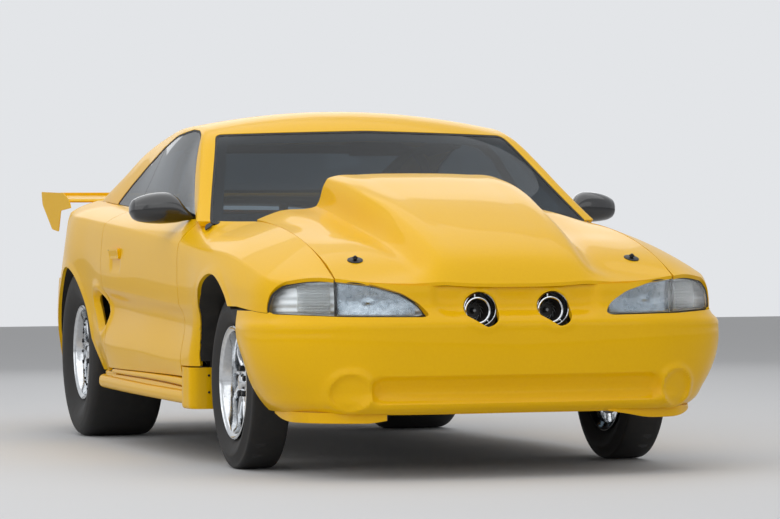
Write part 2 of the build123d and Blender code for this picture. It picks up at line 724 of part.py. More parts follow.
dam_half = [(300, -900), (548, -856), (658, -740), (726, -590), (728, -400)]
dam = [*[(-x, s) for x, s in dam_half[::-1]], (0, -908), *dam_half]
dam_piece = plan_prism(dam + inset(dam[::-1], DAM_WALL), DAM_LOW, NOSE_LEVELS[0][0] - SEAT)
dam_gap = block((-330, 330), (-1000, -700), (DAM_LOW - 2, DAM_MIDDLE_LOW))
save(combine(dam_piece, removed=[dam_gap]), "air_dam")


def headlamp():
    """Left headlamp: the outline seen from the front, between its curved face and its back."""
    body = front_prism(LAMP, -1000, -500)
    back = [(x, s + LAMP_DEPTH) for x, s in LAMP_FACE[::-1]]
    kept = plan_prism(LAMP_FACE + back, 500, 720)
    return combine(body, removed=[hood_space, above_hood], kept=kept)


save(both_sides(headlamp()), "headlamps")


def tail_outline(row, wall):
    """One level outline of the rear bumper and tail panel."""
    height, centre, s450, corner_x, corner_s, side_x = row
    half = [(0, centre), (450, s450), (corner_x, corner_s), (side_x, TAIL_FRONT)]
    outer = [(-x, at(s)) for x, s in half[:0:-1]] + [(x, at(s)) for x, s in half]
    inner = inset([(x, y) for x, y in outer], wall)
    inner[0] = (inner[0][0], at(TAIL_FRONT))
    inner[-1] = (inner[-1][0], at(TAIL_FRONT))
    return outer + inner[::-1]


stern = level_loft(TAIL_LEVELS, lambda row: tail_outline(row, BUMPER_WALL))
stern_cuts = [block((way * 700 - 300, way * 700 + 300), (3000, DECK_REAR + SEAT), (690 - SEAT, 1100))
              for way in (-1, 1)]
lamp_cut = [block((way * 460 - 149 - SEAT, way * 460 + 149 + SEAT), (3400, 3800), (733 - SEAT, 887 + SEAT))
            for way in (-1, 1)]
rear_bumper = combine(stern, removed=stern_cuts + lamp_cut)
save(rear_bumper, "rear_bumper")
lamps = [combine(stern, kept=block((way * 460 - 149, way * 460 + 149), (3400, 3800), (733, 887)))
         for way in (-1, 1)]
save(Compound(children=lamps), "tail_lamps")

# Floor, rails and liners
floor = combine(
    plan_prism([(-740, 372), (740, 372), (740, SKIRT_REAR), (500, FLOOR_STEP + FLOOR_SHEET),
                (-500, FLOOR_STEP + FLOOR_SHEET), (-740, SKIRT_REAR)], FLOOR_Z, FLOOR_Z + FLOOR_SHEET),
    added=[
        block((-500, 500), (FLOOR_STEP, FLOOR_STEP + FLOOR_SHEET), (FLOOR_Z, BOOT_Z + FLOOR_SHEET)),
        block((-500, 500), (FLOOR_STEP, DECK_REAR + 20), (BOOT_Z, BOOT_Z + FLOOR_SHEET)),
        block((-150, 150), (900, 960), (200, 217)),
        *[block((x - 20, x + 20), (900, 960), (200, 250)) for x in (-130, 130)],
    ],
    removed=[
        block((-110 - SEAT, 110 + SEAT), (300, FLOOR_STEP + 72), (218, 400 + SEAT)),
        *[across(0, FRONT_ARCH_Z, x, x + 500, ARCH_R + LINER_GAP + LINER_WALL + SEAT) for x in (469, -969)],
    ],
)
save(floor, "floor_pan")
tunnel = combine(block((-110, 110), (372 + SEAT, FLOOR_STEP), (FLOOR_Z, 400)),
                 removed=[block((-98, 98), (340, FLOOR_STEP + 22), (218, 388))])
save(tunnel, "tunnel")
firewall = combine(
    block((-690, 690), (360, 372), (250 + SEAT, 836)),
    added=[
        *[block(sorted((way * low, way * high)), (HOOD_HINGE[0] - 10, 372), (780, HOOD_HINGE[1] + 10))
          for low, high in HOOD_CHEEKS for way in (-1, 1)],
        *[across(*HOOD_HINGE, *sorted((way * HOOD_CHEEKS[0][0], way * HOOD_CHEEKS[1][1])), PIN_R)
          for way in (-1, 1)],
    ],
    removed=[
        block((-98, 98), (340, 380), (218, 388)),
        *[across(0, FRONT_ARCH_Z, x, x + 500, ARCH_R + LINER_GAP + LINER_WALL + SEAT) for x in (469, -969)],
    ],
)
save(firewall, "firewall")
pillars = [block((x - 25, x + 25), (470, 545), (250 + SEAT, 848)) for x in (-715, 715)]
save(Compound(children=pillars), "hinge_pillars")
rails = [combine(block((x - 30, x + 30), (-870, 360 - SEAT), (380, 470)), removed=[front_bumper])
         for x in (-400, 400)]
towers = []
for way in (-1, 1):
    wall = block(sorted((way * 540, way * 552)), (-60, 60), (440, 702))
    cap = block(sorted((way * 540, way * 650)), (-60, 60), (690.3, 702))
    foot = block(sorted((way * 430, way * 552)), (-60, 60), (440, 470))
    rail = rails[0] if way < 0 else rails[1]
    towers.append(combine(rail, added=[wall, cap, foot]))
save(Compound(children=towers), "front_rails")


def liner(station, height, radius, x_from, x_to):
    """A half-round wheel house over one left wheel."""
    outer = across(station, height, x_from, x_to, radius + LINER_WALL)
    return combine(outer, removed=[across(station, height, x_from - 10, x_to + 10, radius),
                                   block((0, 1200), (station - 600, station + 600), (-200, height))])


houses = [liner(0, FRONT_ARCH_Z, ARCH_R + LINER_GAP, 470, HOUSE_FRONT_X),
          liner(WHEELBASE, REAR_ARCH_Z, REAR_ARCH_R + LINER_GAP, 500.3, HOUSE_X - SEAT)]
save(Compound(children=houses + [mirrored(h) for h in houses]), "wheel_houses")

# Interior
def column(first, last, radius):
    """A round bar along the steering column, between two distances from the steering wheel."""
    (hub_s, hub_z), (along, up) = STEER_HUB, STEER_AXIS
    return tube([(DRIVER_X, hub_s - along * d, hub_z - up * d) for d in (first, last)], radius)


firewall_rear = 372 + SEAT
dashboard = plan_prism([(-690, firewall_rear), (690, firewall_rear), (690, 700), (540, 740), (540, 800),
                        (190, 800), (140, 720), (-690, 700)], 680, 850)
save(combine(dashboard, removed=[column(100, 215, COLUMN_R + RUNNING_FIT)]), "dashboard")
seat_low, seat_high = DRIVER_X - SEAT_WIDTH / 2, DRIVER_X + SEAT_WIDTH / 2
seat_back = side_prism([(1620, 340), (1800, 1080), (1700, 1080), (1560, 340)], seat_low, seat_high)
save(
    combine(
        block((seat_low, seat_high), (1180, 1660), (340, 460)),
        added=[seat_back, block((seat_low + 60, seat_high - 60), (1270, 1570), (250.3, 340))],
        removed=[block((seat_low + 50, seat_high - 50), (1170, 1560), (410, 470))],
    ),
    "driver_seat",
)
with BuildPart() as steering_ring:
    hub_plane = Plane(origin=(DRIVER_X, at(STEER_HUB[0]), STEER_HUB[1]), z_dir=(0, *STEER_AXIS))
    with BuildSketch(hub_plane):
        Circle(168)
        Circle(146, mode=Mode.SUBTRACT)
        with PolarLocations(92, 3, 90):
            Rectangle(120, 26)
        Circle(40)
    extrude(amount=18)
save(combine(steering_ring.part, added=[column(0, 200, COLUMN_R)]), "steering_wheel")
hoop = [(-600, 1860, 250.3), (-600, 1860, 900), (-500, 1860, 1225), (500, 1860, 1225), (600, 1860, 900),
        (600, 1860, 250.3)]
front_bar = [(-500, 1850, 1215), (-505, 1250, 1240), (-560, 1040, 1190), (-640, 760, 900), (-640, 760, 250.3)]
stay = FLOOR_STEP + 232
boot_floor = BOOT_Z + FLOOR_SHEET + SEAT
rear_stay = [(-450, 1870, 1215), (-430, stay, 880), (-430, stay, boot_floor)]
door_bar = [(-605, 1855, 640), (-650, 1300, 470), (-642, 765, 330)]
bars = [tube(hoop, 21)]
for way in (1, -1):
    for bar in (front_bar, rear_stay, door_bar):
        bars.append(tube([(way * x, s, z) for x, s, z in bar], 19))
bars.append(tube([(-590, 1860, 300), (470, 1860, 1215)], 19))
save(combine(bars[0], added=bars[1:]), "roll_cage")

# Drive line and running gear
save(combine(block((-250, 250), (-420, 300), (330, 740)), added=[block((-130, 130), (80, 290), (215, 330))]),
     "engine_block")
gearbox = across_length(0, 298, 300 + SEAT, 1050, 78)
shaft = across_length(0, 298, 1050, WHEELBASE - AXLE_HOUSING_R - 1, 30)
save(combine(gearbox, added=[shaft]), "gearbox_and_shaft")
arms = [plan_prism([(way * 430, -140), (way * 430, 140), (way * 585, 32), (way * 622, 24), (way * 622, -24),
                    (way * 585, -32)], 205, 235) for way in (1, -1)]
save(
    combine(
        block((-440, 440), (-45, 45), (200, 250)),
        added=[block((x - 30, x + 30), (-40, 40), (250, 379.7)) for x in (-400, 400)]
        + [block((x - 30, x + 30), (-40, 40), (250, 329.7)) for x in (-200, 200)]
        + arms,
    ),
    "front_crossmember",
)
spindle_end = REAR_OUTER_X - REAR_TYRE_W / 2 + REAR_RIM_W / 2 - 40
axle = combine(
    across(WHEELBASE, REAR_TYRE_R, -490, 490, AXLE_R),
    added=[across(WHEELBASE, REAR_TYRE_R, -spindle_end, spindle_end, BORE_R - RUNNING_FIT)],
)
with BuildPart() as pumpkin:
    with Locations((0, at(WHEELBASE), REAR_TYRE_R)):
        Sphere(AXLE_HOUSING_R)
save(combine(axle, added=[pumpkin.part]), "rear_axle")
link_z = REAR_TYRE_R - 2
links = [tube([(way * REAR_LINK_X, FLOOR_STEP + FLOOR_SHEET + SEAT, link_z),
               (way * REAR_LINK_X, WHEELBASE - AXLE_R - SEAT, link_z)], 18) for way in (1, -1)]
links += [upright_bar(way * REAR_LINK_X, WHEELBASE, REAR_TYRE_R + AXLE_R + SEAT, BOOT_Z - SEAT, 26)
          for way in (1, -1)]
save(Compound(children=links), "rear_links")

# Knuckles and wheels
front_mid = FRONT_OUTER_X - FRONT_TYRE_W / 2
knuckle = combine(
    block((KINGPIN_X - 25, KINGPIN_X + 30), (-50, 50), (FRONT_TYRE_R - 60, FRONT_TYRE_R + 60)),
    added=[
        across(0, FRONT_TYRE_R, KINGPIN_X, front_mid + FRONT_RIM_W / 2 - 40, BORE_R - RUNNING_FIT),
        upright_bar(KINGPIN_X, 0, FRONT_TYRE_R, 690, 22),
        upright_bar(KINGPIN_X, 0, 235.3, FRONT_TYRE_R, 20),
    ],
)
save(knuckle, "knuckle_left")
save(mirrored(knuckle), "knuckle_right")

for place, station, radius, width, rim_width, outer_x in (
    ("front", 0, FRONT_TYRE_R, FRONT_TYRE_W, FRONT_RIM_W, FRONT_OUTER_X),
    ("rear", WHEELBASE, REAR_TYRE_R, REAR_TYRE_W, REAR_RIM_W, REAR_OUTER_X),
):
    rubber, metal = wheel(station, radius, width, rim_width, outer_x)
    for side_name, flip in (("left", False), ("right", True)):
        save(mirrored(rubber) if flip else rubber, f"tyre_{place}_{side_name}")
        save(mirrored(metal) if flip else metal, f"rim_{place}_{side_name}")
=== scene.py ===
"""The looks of a two-door drag racing coupe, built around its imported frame.

The car's own sizes are in millimetres: x towards its left side, station rearwards from the front axle, height
above the ground. The frame is in metres, with the nose towards -Y. A measure gives each point a number, which
is positive where the point is kept.
"""

from contextlib import contextmanager
from dataclasses import dataclass
from enum import Enum
import logging
from math import cos, pi, radians, sin
from typing import Callable, Iterator, Sequence

import bpy
import numpy as np
from mathutils import Matrix, Vector

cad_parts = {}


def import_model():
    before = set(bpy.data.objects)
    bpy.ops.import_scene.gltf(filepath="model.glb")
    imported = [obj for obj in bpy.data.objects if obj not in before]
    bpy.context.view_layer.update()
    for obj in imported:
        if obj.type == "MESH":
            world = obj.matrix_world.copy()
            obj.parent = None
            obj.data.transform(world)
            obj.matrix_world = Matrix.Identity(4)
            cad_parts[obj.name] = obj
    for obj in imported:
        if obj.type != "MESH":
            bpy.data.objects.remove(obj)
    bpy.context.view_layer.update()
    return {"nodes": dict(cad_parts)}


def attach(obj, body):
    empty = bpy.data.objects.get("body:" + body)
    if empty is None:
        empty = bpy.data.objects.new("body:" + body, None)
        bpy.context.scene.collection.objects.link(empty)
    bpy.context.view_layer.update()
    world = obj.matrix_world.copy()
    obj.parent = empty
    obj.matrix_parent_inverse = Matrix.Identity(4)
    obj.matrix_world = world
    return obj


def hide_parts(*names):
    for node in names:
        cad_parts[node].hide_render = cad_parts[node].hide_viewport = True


log = logging.getLogger("coupe")

Array = np.ndarray
Piece = bpy.types.Object
Way = Sequence[float]
Pairs = Sequence[tuple[float, float]]
Rows = Sequence[tuple[float, ...]]
Measure = Callable[[Array], Array]

NOSE = 965.0
WING_TAIL = 3747.0
MIDDLE = (WING_TAIL - NOSE) / 2
WHEELBASE = 2573.0
# Radius at the middle of a solid turned piece: too small to see, and wide enough for the spin
CORE = 0.1
# Points of a turned or joined piece that lie closer than this become one, in metres
MERGE = 0.00002
# Angles in degrees up to which edges are shaded smooth: on panels and machined pieces, and on tubes and padding
CREASED, ROUND = 32.0, 50.0
LEFT, REAR, UP = Vector((1, 0, 0)), Vector((0, 1, 0)), Vector((0, 0, 1))
SIDES = (("left", 1), ("right", -1))
MIRROR = Matrix.Scale(-1, 4, LEFT)


class View(Enum):
    """The two coordinates that show when the car is seen along one of its axes."""

    SIDE = (1, 2)
    FRONT = (0, 2)


class Pattern(Enum):
    """How the two colours of a finish lie on its surface."""

    MOTTLED = "mottled"
    WOVEN = "woven"
    RIBBED = "ribbed"


# Finishes


def linear(code: str) -> tuple[float, float, float, float]:
    """A colour for a shader.

    Args:
        code: six hex digits of an sRGB colour.

    Returns:
        The linear red, green and blue, with an alpha of one.
    """
    parts = [int(code[i:i + 2], 16) / 255 for i in (0, 2, 4)]
    red, green, blue = (v / 12.92 if v <= 0.04045 else ((v + 0.055) / 1.055) ** 2.4 for v in parts)
    return red, green, blue, 1.0


def add_node(tree: bpy.types.NodeTree, kind: str, settings: dict, links: dict) -> bpy.types.Node:
    """Adds a node to a material.

    Args:
        tree: the material's node tree.
        kind: the node's type, without the word that all of them begin with.
        settings: values by the name of a socket, or else of a property.
        links: output sockets by the name or number of the input that they feed.

    Returns:
        The new node.
    """
    node = tree.nodes.new("ShaderNode" + kind)
    for name, value in settings.items():
        if name in node.inputs:
            node.inputs[name].default_value = value
        else:
            setattr(node, name, value)
    for name, output in links.items():
        tree.links.new(output, node.inputs[name])
    return node


@dataclass(frozen=True)
class Finish:
    """One real finish: two colours in a pattern, and how rough and shiny the surface is.

    Sizes are in millimetres. The second colour takes the given share of the surface.
    """

    name: str
    colour: str
    second: str
    share: float = 0.4
    grain: float = 60.0
    pattern: Pattern = Pattern.MOTTLED
    stretch: tuple[float, float, float] = (1.0, 1.0, 1.0)
    rough: tuple[float, float] = (0.3, 0.4)
    relief: float = 0.05
    metallic: float = 0.0
    ior: float = 1.5
    coat: float = 0.0
    coat_roughness: float = 0.03
    transmission: float = 0.0
    sheen: float = 0.0
    alpha: float = 1.0

    def build(self) -> bpy.types.Material:
        """Makes the material with its nodes.

        Returns:
            The new material.
        """
        material = bpy.data.materials.new(self.name)
        material.use_nodes = True
        tree = material.node_tree
        tree.nodes.clear()
        place = add_node(tree, "TexCoord", {}, {})
        spread = add_node(tree, "Mapping", {"Scale": tuple(v * 1000 / self.grain for v in self.stretch)},
                          {"Vector": place.outputs["Object"]})
        value = self.drawn(tree, spread.outputs["Vector"])
        ramp = add_node(tree, "ValToRGB", {}, {"Fac": value})
        for stop, spot, code in zip(ramp.color_ramp.elements, (0.55, 1.1), (self.colour, self.second)):
            stop.position = min(max(0.0, spot - self.share), 1.0)
            stop.color = linear(code)
        rough = add_node(tree, "MapRange", {"To Min": self.rough[0], "To Max": self.rough[1]}, {"Value": value})
        bump = add_node(tree, "Bump", {"Distance": self.relief / 1000}, {"Height": value})
        settings = {
            "Metallic": self.metallic, "IOR": self.ior, "Coat Weight": self.coat,
            "Coat Roughness": self.coat_roughness, "Transmission Weight": self.transmission,
            "Sheen Weight": self.sheen, "Alpha": self.alpha,
        }
        shader = add_node(tree, "BsdfPrincipled", settings,
                          {"Base Color": ramp.outputs["Color"], "Roughness": rough.outputs["Result"],
                           "Normal": bump.outputs["Normal"]})
        add_node(tree, "OutputMaterial", {}, {"Surface": shader.outputs["BSDF"]})
        return material

    def drawn(self, tree: bpy.types.NodeTree, place: bpy.types.NodeSocket) -> bpy.types.NodeSocket:
        """Draws the pattern.

        Args:
            tree: the material's node tree.
            place: the coordinates, with one unit as large as the grain.

        Returns:
            The socket with the pattern's value, from 0 to 1.
        """
        if self.pattern is Pattern.WOVEN:
            waves = [add_node(tree, "TexWave", {"Scale": 0.31, "bands_direction": way, "Distortion": 0.4},
                              {"Vector": place}) for way in ("X", "DIAGONAL")]
            both = add_node(tree, "Math", {"operation": "MULTIPLY"},
                            {0: waves[0].outputs["Fac"], 1: waves[1].outputs["Fac"]})
            return both.outputs["Value"]
        if self.pattern is Pattern.RIBBED:
            return add_node(tree, "TexWave", {"Scale": 0.31, "Distortion": 0.0}, {"Vector": place}).outputs["Fac"]
        return add_node(tree, "TexNoise", {"Scale": 1.0, "Detail": 3.0}, {"Vector": place}).outputs["Fac"]


# Two-stage automotive enamel, sprayed and polished: clear coat gloss over an even warm yellow with the
# faint waviness of orange peel
PAINT = Finish("sprayed_yellow_enamel", "EFB804", "F2BD06", grain=9.0, relief=0.012, rough=(0.3, 0.36), ior=1.14,
               coat=0.26, coat_roughness=0.02)
# Tempered glass with a smoke tint: dark, even, and faintly uneven in its reflections
TINTED_GLASS = Finish("smoke_tinted_glass", "66747D", "5F6D76", grain=300.0, relief=0.0, rough=(0.0, 0.015),
                      transmission=1.0, ior=1.22)
# Moulded polycarbonate: water clear, with a very slight haze
CLEAR_LENS = Finish("clear_polycarbonate", "F4F7F8", "EEF2F3", grain=120.0, relief=0.0, rough=(0.02, 0.05),
                    transmission=1.0, alpha=0.3)
# Fluted polycarbonate: hazier than the plain lens, with its ribs in the mesh
FLUTED_LENS = Finish("fluted_polycarbonate", "E9EDEE", "DDE3E5", grain=5.0, relief=0.2, rough=(0.05, 0.12),
                     transmission=0.6, alpha=0.6)
# Vacuum metallised moulding behind the lens: bright, slightly soft mirror
REFLECTOR = Finish("aluminised_reflector", "E6E9EA", "D5D9DB", grain=25.0, relief=0.02, rough=(0.3, 0.45), metallic=1.0)
# The same metallising on a stippled bowl, with a painted reflection in its colour: blue-grey patches, light and dark
PAINTED_REFLECTION_BOWL = Finish("stippled_lamp_bowl", "C3CDD5", "98A4AE", grain=17.0, relief=1.1, rough=(0.2, 0.32), metallic=1.0)
# Silvered mirror glass
SILVERED = Finish("silvered_mirror_glass", "E4E8EA", "DCE1E3", grain=80.0, relief=0.0, rough=(0.01, 0.03), metallic=1.0)
# Moulded acrylic, red through its thickness
RED_LENS = Finish("red_acrylic_lens", "B0040A", "930308", grain=6.0, relief=0.15, rough=(0.1, 0.16), ior=1.3, coat=0.3)
# Gloss black enamel on moulded covers
BLACK_GLOSS = Finish("gloss_black_enamel", "0B0C0E", "121316", grain=20.0, relief=0.01, rough=(0.15, 0.25),
                     coat=0.8, coat_roughness=0.04)
# Textured ABS moulding: matt black with a fine grain
BLACK_PLASTIC = Finish("grained_black_abs", "17181A", "222427", grain=2.2, relief=0.12, rough=(0.5, 0.7))
# Extruded EPDM seal: soft dull black
RUBBER_SEAL = Finish("extruded_epdm_rubber", "0E0F10", "17181A", grain=14.0, relief=0.05, rough=(0.55, 0.75))
# Bias-ply slick compound: black with a brown-grey bloom of dust and heat
TYRE_RUBBER = Finish("cured_tyre_rubber", "121213", "2A2826", grain=34.0, share=0.35, relief=0.25, rough=(0.55, 0.85))
# Polished aluminium: bright with fine swirl marks, drawn coarser than they are so that they show
POLISHED = Finish("polished_aluminium", "E3E5E7", "C9CCCF", grain=18.0, relief=0.02, rough=(0.06, 0.16), metallic=1.0)
# Sand-cast aluminium: grey and grainy
CAST = Finish("sand_cast_aluminium", "8B8E90", "6D6F71", grain=3.5, relief=0.3, rough=(0.42, 0.6), metallic=1.0)
# Zinc-plated steel fasteners: grey with a slight yellow
ZINC = Finish("zinc_plated_steel", "A9A89F", "8A8980", grain=6.0, relief=0.05, rough=(0.25, 0.42), metallic=1.0)
# Welded chrome-moly tube, painted: satin black with runs and scuffs
CAGE_PAINT = Finish("satin_black_tube_enamel", "15171A", "202328", grain=40.0, relief=0.06, rough=(0.32, 0.5), coat=0.3)
# Pressed steel under chassis black, dusty from the road
CHASSIS = Finish("dusty_chassis_black", "191A1B", "3A3733", grain=70.0, share=0.35, relief=0.2, rough=(0.5, 0.8))
# Cast iron with burnt-on oil
IRON = Finish("oiled_cast_iron", "4A4B4D", "2E2E2F", grain=8.0, relief=0.4, rough=(0.45, 0.7), metallic=1.0)
# Woven seat cloth, polyester, drawn at twice its thread spacing so that it shows
SEAT_CLOTH = Finish("woven_polyester_seat_cloth", "1B1C1F", "33353A", grain=3.0, pattern=Pattern.WOVEN, relief=0.3,
                    rough=(0.75, 0.9), sheen=0.3)
# Needled carpet on the floor: dull charcoal fuzz
CARPET = Finish("needled_carpet", "1E1F20", "2D2E30", grain=5.0, relief=0.5, rough=(0.85, 0.95), sheen=0.2)
# Black oxide steel: wheel nuts, bolts
DARK_STEEL = Finish("black_oxide_steel", "2B2C2E", "3C3C3D", grain=5.0, relief=0.05, rough=(0.35, 0.5), metallic=1.0)
# Ground cast iron brake disc, bright where the pads sweep
DISC_STEEL = Finish("ground_brake_disc_iron", "9A9B9C", "7F8081", grain=12.0, stretch=(8.0, 1.0, 1.0), relief=0.05,
                    rough=(0.28, 0.42), metallic=1.0)
# Cast aluminium inside the inlets, painted near black with a faint brown as the shade deep in the hole
BORE_PAINTED_SHADE = Finish("cast_bore_painted_shade", "26221F", "171514", grain=9.0, relief=0.1, rough=(0.45, 0.65))
# Printed dial faces: near black, with the slight gloss of their ink
DARK_DIAL = Finish("printed_dial_face", "101113", "1B1C1E", grain=12.0, relief=0.0, rough=(0.2, 0.3), coat=0.5)
# Soft vinyl skin over the dashboard and door cards: leather-like grain
DASH_VINYL = Finish("grained_black_vinyl", "1A1B1D", "26282B", grain=4.0, relief=0.2, rough=(0.55, 0.7))
# Woven nylon harness webbing, red, with ribs across the strap
HARNESS = Finish("red_nylon_webbing", "8E1418", "6F0F13", grain=3.0, pattern=Pattern.RIBBED, relief=0.3,
                 rough=(0.6, 0.75), sheen=0.2)
# Stainless tube and iron housings coloured by heat: straw to brown
HEAT_STEEL = Finish("heat_tinted_stainless", "8F7F6C", "5D4F45", grain=90.0, relief=0.08, rough=(0.3, 0.5),
                    metallic=1.0)
# Brazed aluminium fins, painted dark grey as the shade between the fins
RADIATOR = Finish("radiator_fins_painted_shade", "3A3B3C", "252627", grain=4.0, relief=0.3, rough=(0.5, 0.7), metallic=0.6)
# Powder-coated coil springs: deep red
SPRING_ENAMEL = Finish("red_spring_powder_coat", "8F1A1A", "7A1414", grain=12.0, relief=0.05, rough=(0.35, 0.5))
# Reflective sheet on a pressed plate: off white, faintly grained
PLATE_WHITE = Finish("reflective_plate_sheet", "D9DAD6", "CFD0CB", grain=1.6, relief=0.03, rough=(0.35, 0.5), coat=0.3)

MADE: dict[str, bpy.types.Material] = {}


def dress(piece: Piece, finish: Finish) -> None:
    """Gives a piece one finish all over.

    Args:
        piece: the object.
        finish: the finish that it gets.
    """
    if finish.name not in MADE:
        MADE[finish.name] = finish.build()
    piece.data.materials.clear()
    piece.data.materials.append(MADE[finish.name])


# Curves and measures


def between(t: Array, length: Array, ends: Sequence[Array], slopes: Sequence[Array]) -> Array:
    """Values at shares of the way along smooth curves, given the length, and the values and slopes at the ends."""
    return (ends[0] * (2 * t ** 3 - 3 * t ** 2 + 1) + ends[1] * (3 * t ** 2 - 2 * t ** 3)
            + slopes[0] * length * (t ** 3 - 2 * t ** 2 + t) + slopes[1] * length * (t ** 3 - t ** 2))


def eased(rows: Rows, spots: Array, blur: float = 0.0) -> Array:
    """Every column of a table at new values of its first one, on smooth curves.

    Args:
        rows: the table.
        spots: the new values of the first column.
        blur: how far each curve is evened out, in millimetres.

    Returns:
        One row for each spot, without the first column.
    """
    table = np.array(rows, float)
    knots, values = table[:, 0], table[:, 1:]
    step = np.diff(knots)[:, None]
    slope = np.diff(values, axis=0) / step
    inner = (slope[:-1] * step[1:] + slope[1:] * step[:-1]) / (step[:-1] + step[1:])
    tangent = np.vstack([slope[:1], inner, slope[-1:]])
    offsets = np.linspace(-2, 2, 9)
    weights = np.exp(-offsets ** 2 / 2)
    total = np.zeros((len(spots), values.shape[1]))
    for offset, weight in zip(offsets * blur, weights / weights.sum()):
        spot = np.clip(spots + offset, knots[0], knots[-1])
        past = (spots + offset - spot)[:, None]
        i = np.clip(np.searchsorted(knots, spot, side="right") - 1, 0, len(knots) - 2)
        curve = between((spot - knots[i])[:, None] / step[i], step[i], (values[i], values[i + 1]),
                        (tangent[i], tangent[i + 1]))
        total += weight * (curve + past * np.where(past < 0, tangent[0], tangent[-1]))
    return total


def flow(points: Array, step: float) -> Array:
    """Smooth curves through rows of points.

    Args:
        points: an array of rows, points and coordinates.
        step: the spacing along the curves.

    Returns:
        The same rows with many more points.
    """
    chord = np.maximum(np.linalg.norm(np.diff(points, axis=1), axis=2, keepdims=True), 0.01)
    slope = np.diff(points, axis=1) / chord
    inner = (slope[:, :-1] * chord[:, 1:] + slope[:, 1:] * chord[:, :-1]) / (chord[:, :-1] + chord[:, 1:])
    tangent = np.concatenate([1.5 * slope[:, :1] - 0.5 * inner[:, :1], inner,
                              1.5 * slope[:, -1:] - 0.5 * inner[:, -1:]], axis=1)
    parts = []
    for i in range(points.shape[1] - 1):
        near, far = slice(i, i + 1), slice(i + 1, i + 2)
        count = max(1, round(float(chord[:, near].max()) / step))
        t = (np.arange(count) / count)[None, :, None]
        parts.append(between(t, chord[:, near], (points[:, near], points[:, far]), (tangent[:, near], tangent[:, far])))
    return np.concatenate([*parts, points[:, -1:]], axis=1)


def path_through(points: Rows, step: float) -> Array:
    """One smooth curve through points."""
    return flow(np.array([points], float), step)[0]


def creased(points: Array, radii: Sequence[float]) -> Array:
    """Rows of points whose creases have a small radius.

    Args:
        points: an array of rows, points and coordinates.
        radii: for each point, how far its corner is rounded, or 0 where the curve simply runs through.

    Returns:
        The rows, with three points in the place of each crease.
    """
    made = []
    for i, radius in enumerate(radii):
        here = points[:, i]
        if radius <= 0:
            made.append(here)
            continue
        ways = (points[:, i - 1] - here, points[:, i + 1] - here)
        low, high = (here + way * np.minimum(radius / np.linalg.norm(way, axis=1, keepdims=True), 0.4) for way in ways)
        made += [low, here * 0.5 + (low + high) * 0.25, high]
    return np.stack(made, axis=1)


def rounded(outline: Pairs, radius: float, steps: int = 6) -> list[tuple[float, float]]:
    """A closed outline with round corners.

    Args:
        outline: its corners.
        radius: how far each corner is rounded.
        steps: the number of sides in a corner.

    Returns:
        The points of the new outline.
    """
    made = []
    corners = [Vector(point) for point in outline]
    for i, corner in enumerate(corners):
        before, after = corners[i - 1] - corner, corners[(i + 1) % len(corners)] - corner
        start, end = (corner + way * min(radius / way.length, 0.48) for way in (before, after))
        for t in (k / steps for k in range(steps + 1)):
            made.append(tuple(start * (1 - t) ** 2 + corner * 2 * t * (1 - t) + end * t ** 2))
    return made


def inside(outline: Pairs, view: View, radius: float = 0.0, steps: int = 6) -> Measure:
    """How far inside an outline each point lies.

    Args:
        outline: the closed outline.
        view: the way that it is seen.
        radius: how far its corners are rounded.
        steps: the number of sides in a corner.

    Returns:
        The measure, positive inside and negative outside.
    """
    start = np.array(rounded(outline, radius, steps) if radius else outline, float)
    end = np.roll(start, -1, axis=0)
    step = end - start
    rise = np.where(np.abs(step[:, 1]) < 1e-9, 1e-9, step[:, 1])

    def measure(points: Array) -> Array:
        """The signed distance of each point from the outline.

        Args:
            points: the points.

        Returns:
            The distances.
        """
        flat = points[:, list(view.value)]
        to = flat[:, None] - start[None]
        share = np.clip((to * step).sum(-1) / np.maximum((step ** 2).sum(-1), 1e-9), 0, 1)
        distance = np.sqrt(((to - share[..., None] * step) ** 2).sum(-1)).min(1)
        up = (start[None, :, 1] > flat[:, 1:2]) != (end[None, :, 1] > flat[:, 1:2])
        met = start[None, :, 0] + (flat[:, 1:2] - start[None, :, 1]) * (step[:, 0] / rise)[None]
        odd = (up & (flat[:, :1] < met)).sum(1) % 2
        return np.where(odd == 1, distance, -distance)

    return measure


def beyond(view: View, centre: tuple[float, float], radius: float) -> Measure:
    """How far outside a circle each point lies."""
    first, second = view.value
    return lambda points: np.hypot(points[:, first] - centre[0], points[:, second] - centre[1]) - radius


def over(axis: int, value: float) -> Measure:
    """How far each point lies past a value of one coordinate."""
    return lambda points: points[:, axis] - value


def under(axis: int, value: float) -> Measure:
    """How far each point lies short of a value of one coordinate."""
    return lambda points: value - points[:, axis]


def outside(measure: Measure, depth: float = 0.0) -> Measure:
    """What lies outside a measure, or less than a depth inside it."""
    return lambda points: depth - measure(points)


def deep(measure: Measure, depth: float) -> Measure:
    """What lies more than a depth inside a measure."""
    return lambda points: measure(points) - depth


def either(*measures: Measure) -> Measure:
    """What lies inside any one of several measures."""
    return lambda points: np.max([measure(points) for measure in measures], axis=0)


def within(region: Measure, measure: Measure, other: float = -100.0) -> Measure:
    """A measure that holds in a region only, and has a fixed value elsewhere."""
    return lambda points: np.where(region(points) > 0, measure(points), other)


def both_ways(measure: Measure) -> Measure:
    """A measure of the car's left side, for both sides."""
    return lambda points: measure(np.column_stack([np.abs(points[:, 0]), points[:, 1:]]))


def bump(distance: Array, width: float) -> Array:
    """A soft rise, 1 at no distance and nearly 0 at twice the width."""
    return np.exp(-(distance / width) ** 2)


def ramp(distance: Array, width: float) -> Array:
    """A soft step from 0 to 1 as the distance passes from minus to plus the width."""
    t = np.clip(distance / (2 * width) + 0.5, 0, 1)
    return t * t * (3 - 2 * t)


def column(x: float, values: Array) -> Array:
    """Points at one x, with one more value each."""
    return np.column_stack([np.full(len(values), x), values])


def edges(face: Sequence[int]) -> Iterator[tuple[int, int]]:
    """The edges of a face, in order."""
    return zip(face, (*face[1:], face[0]))


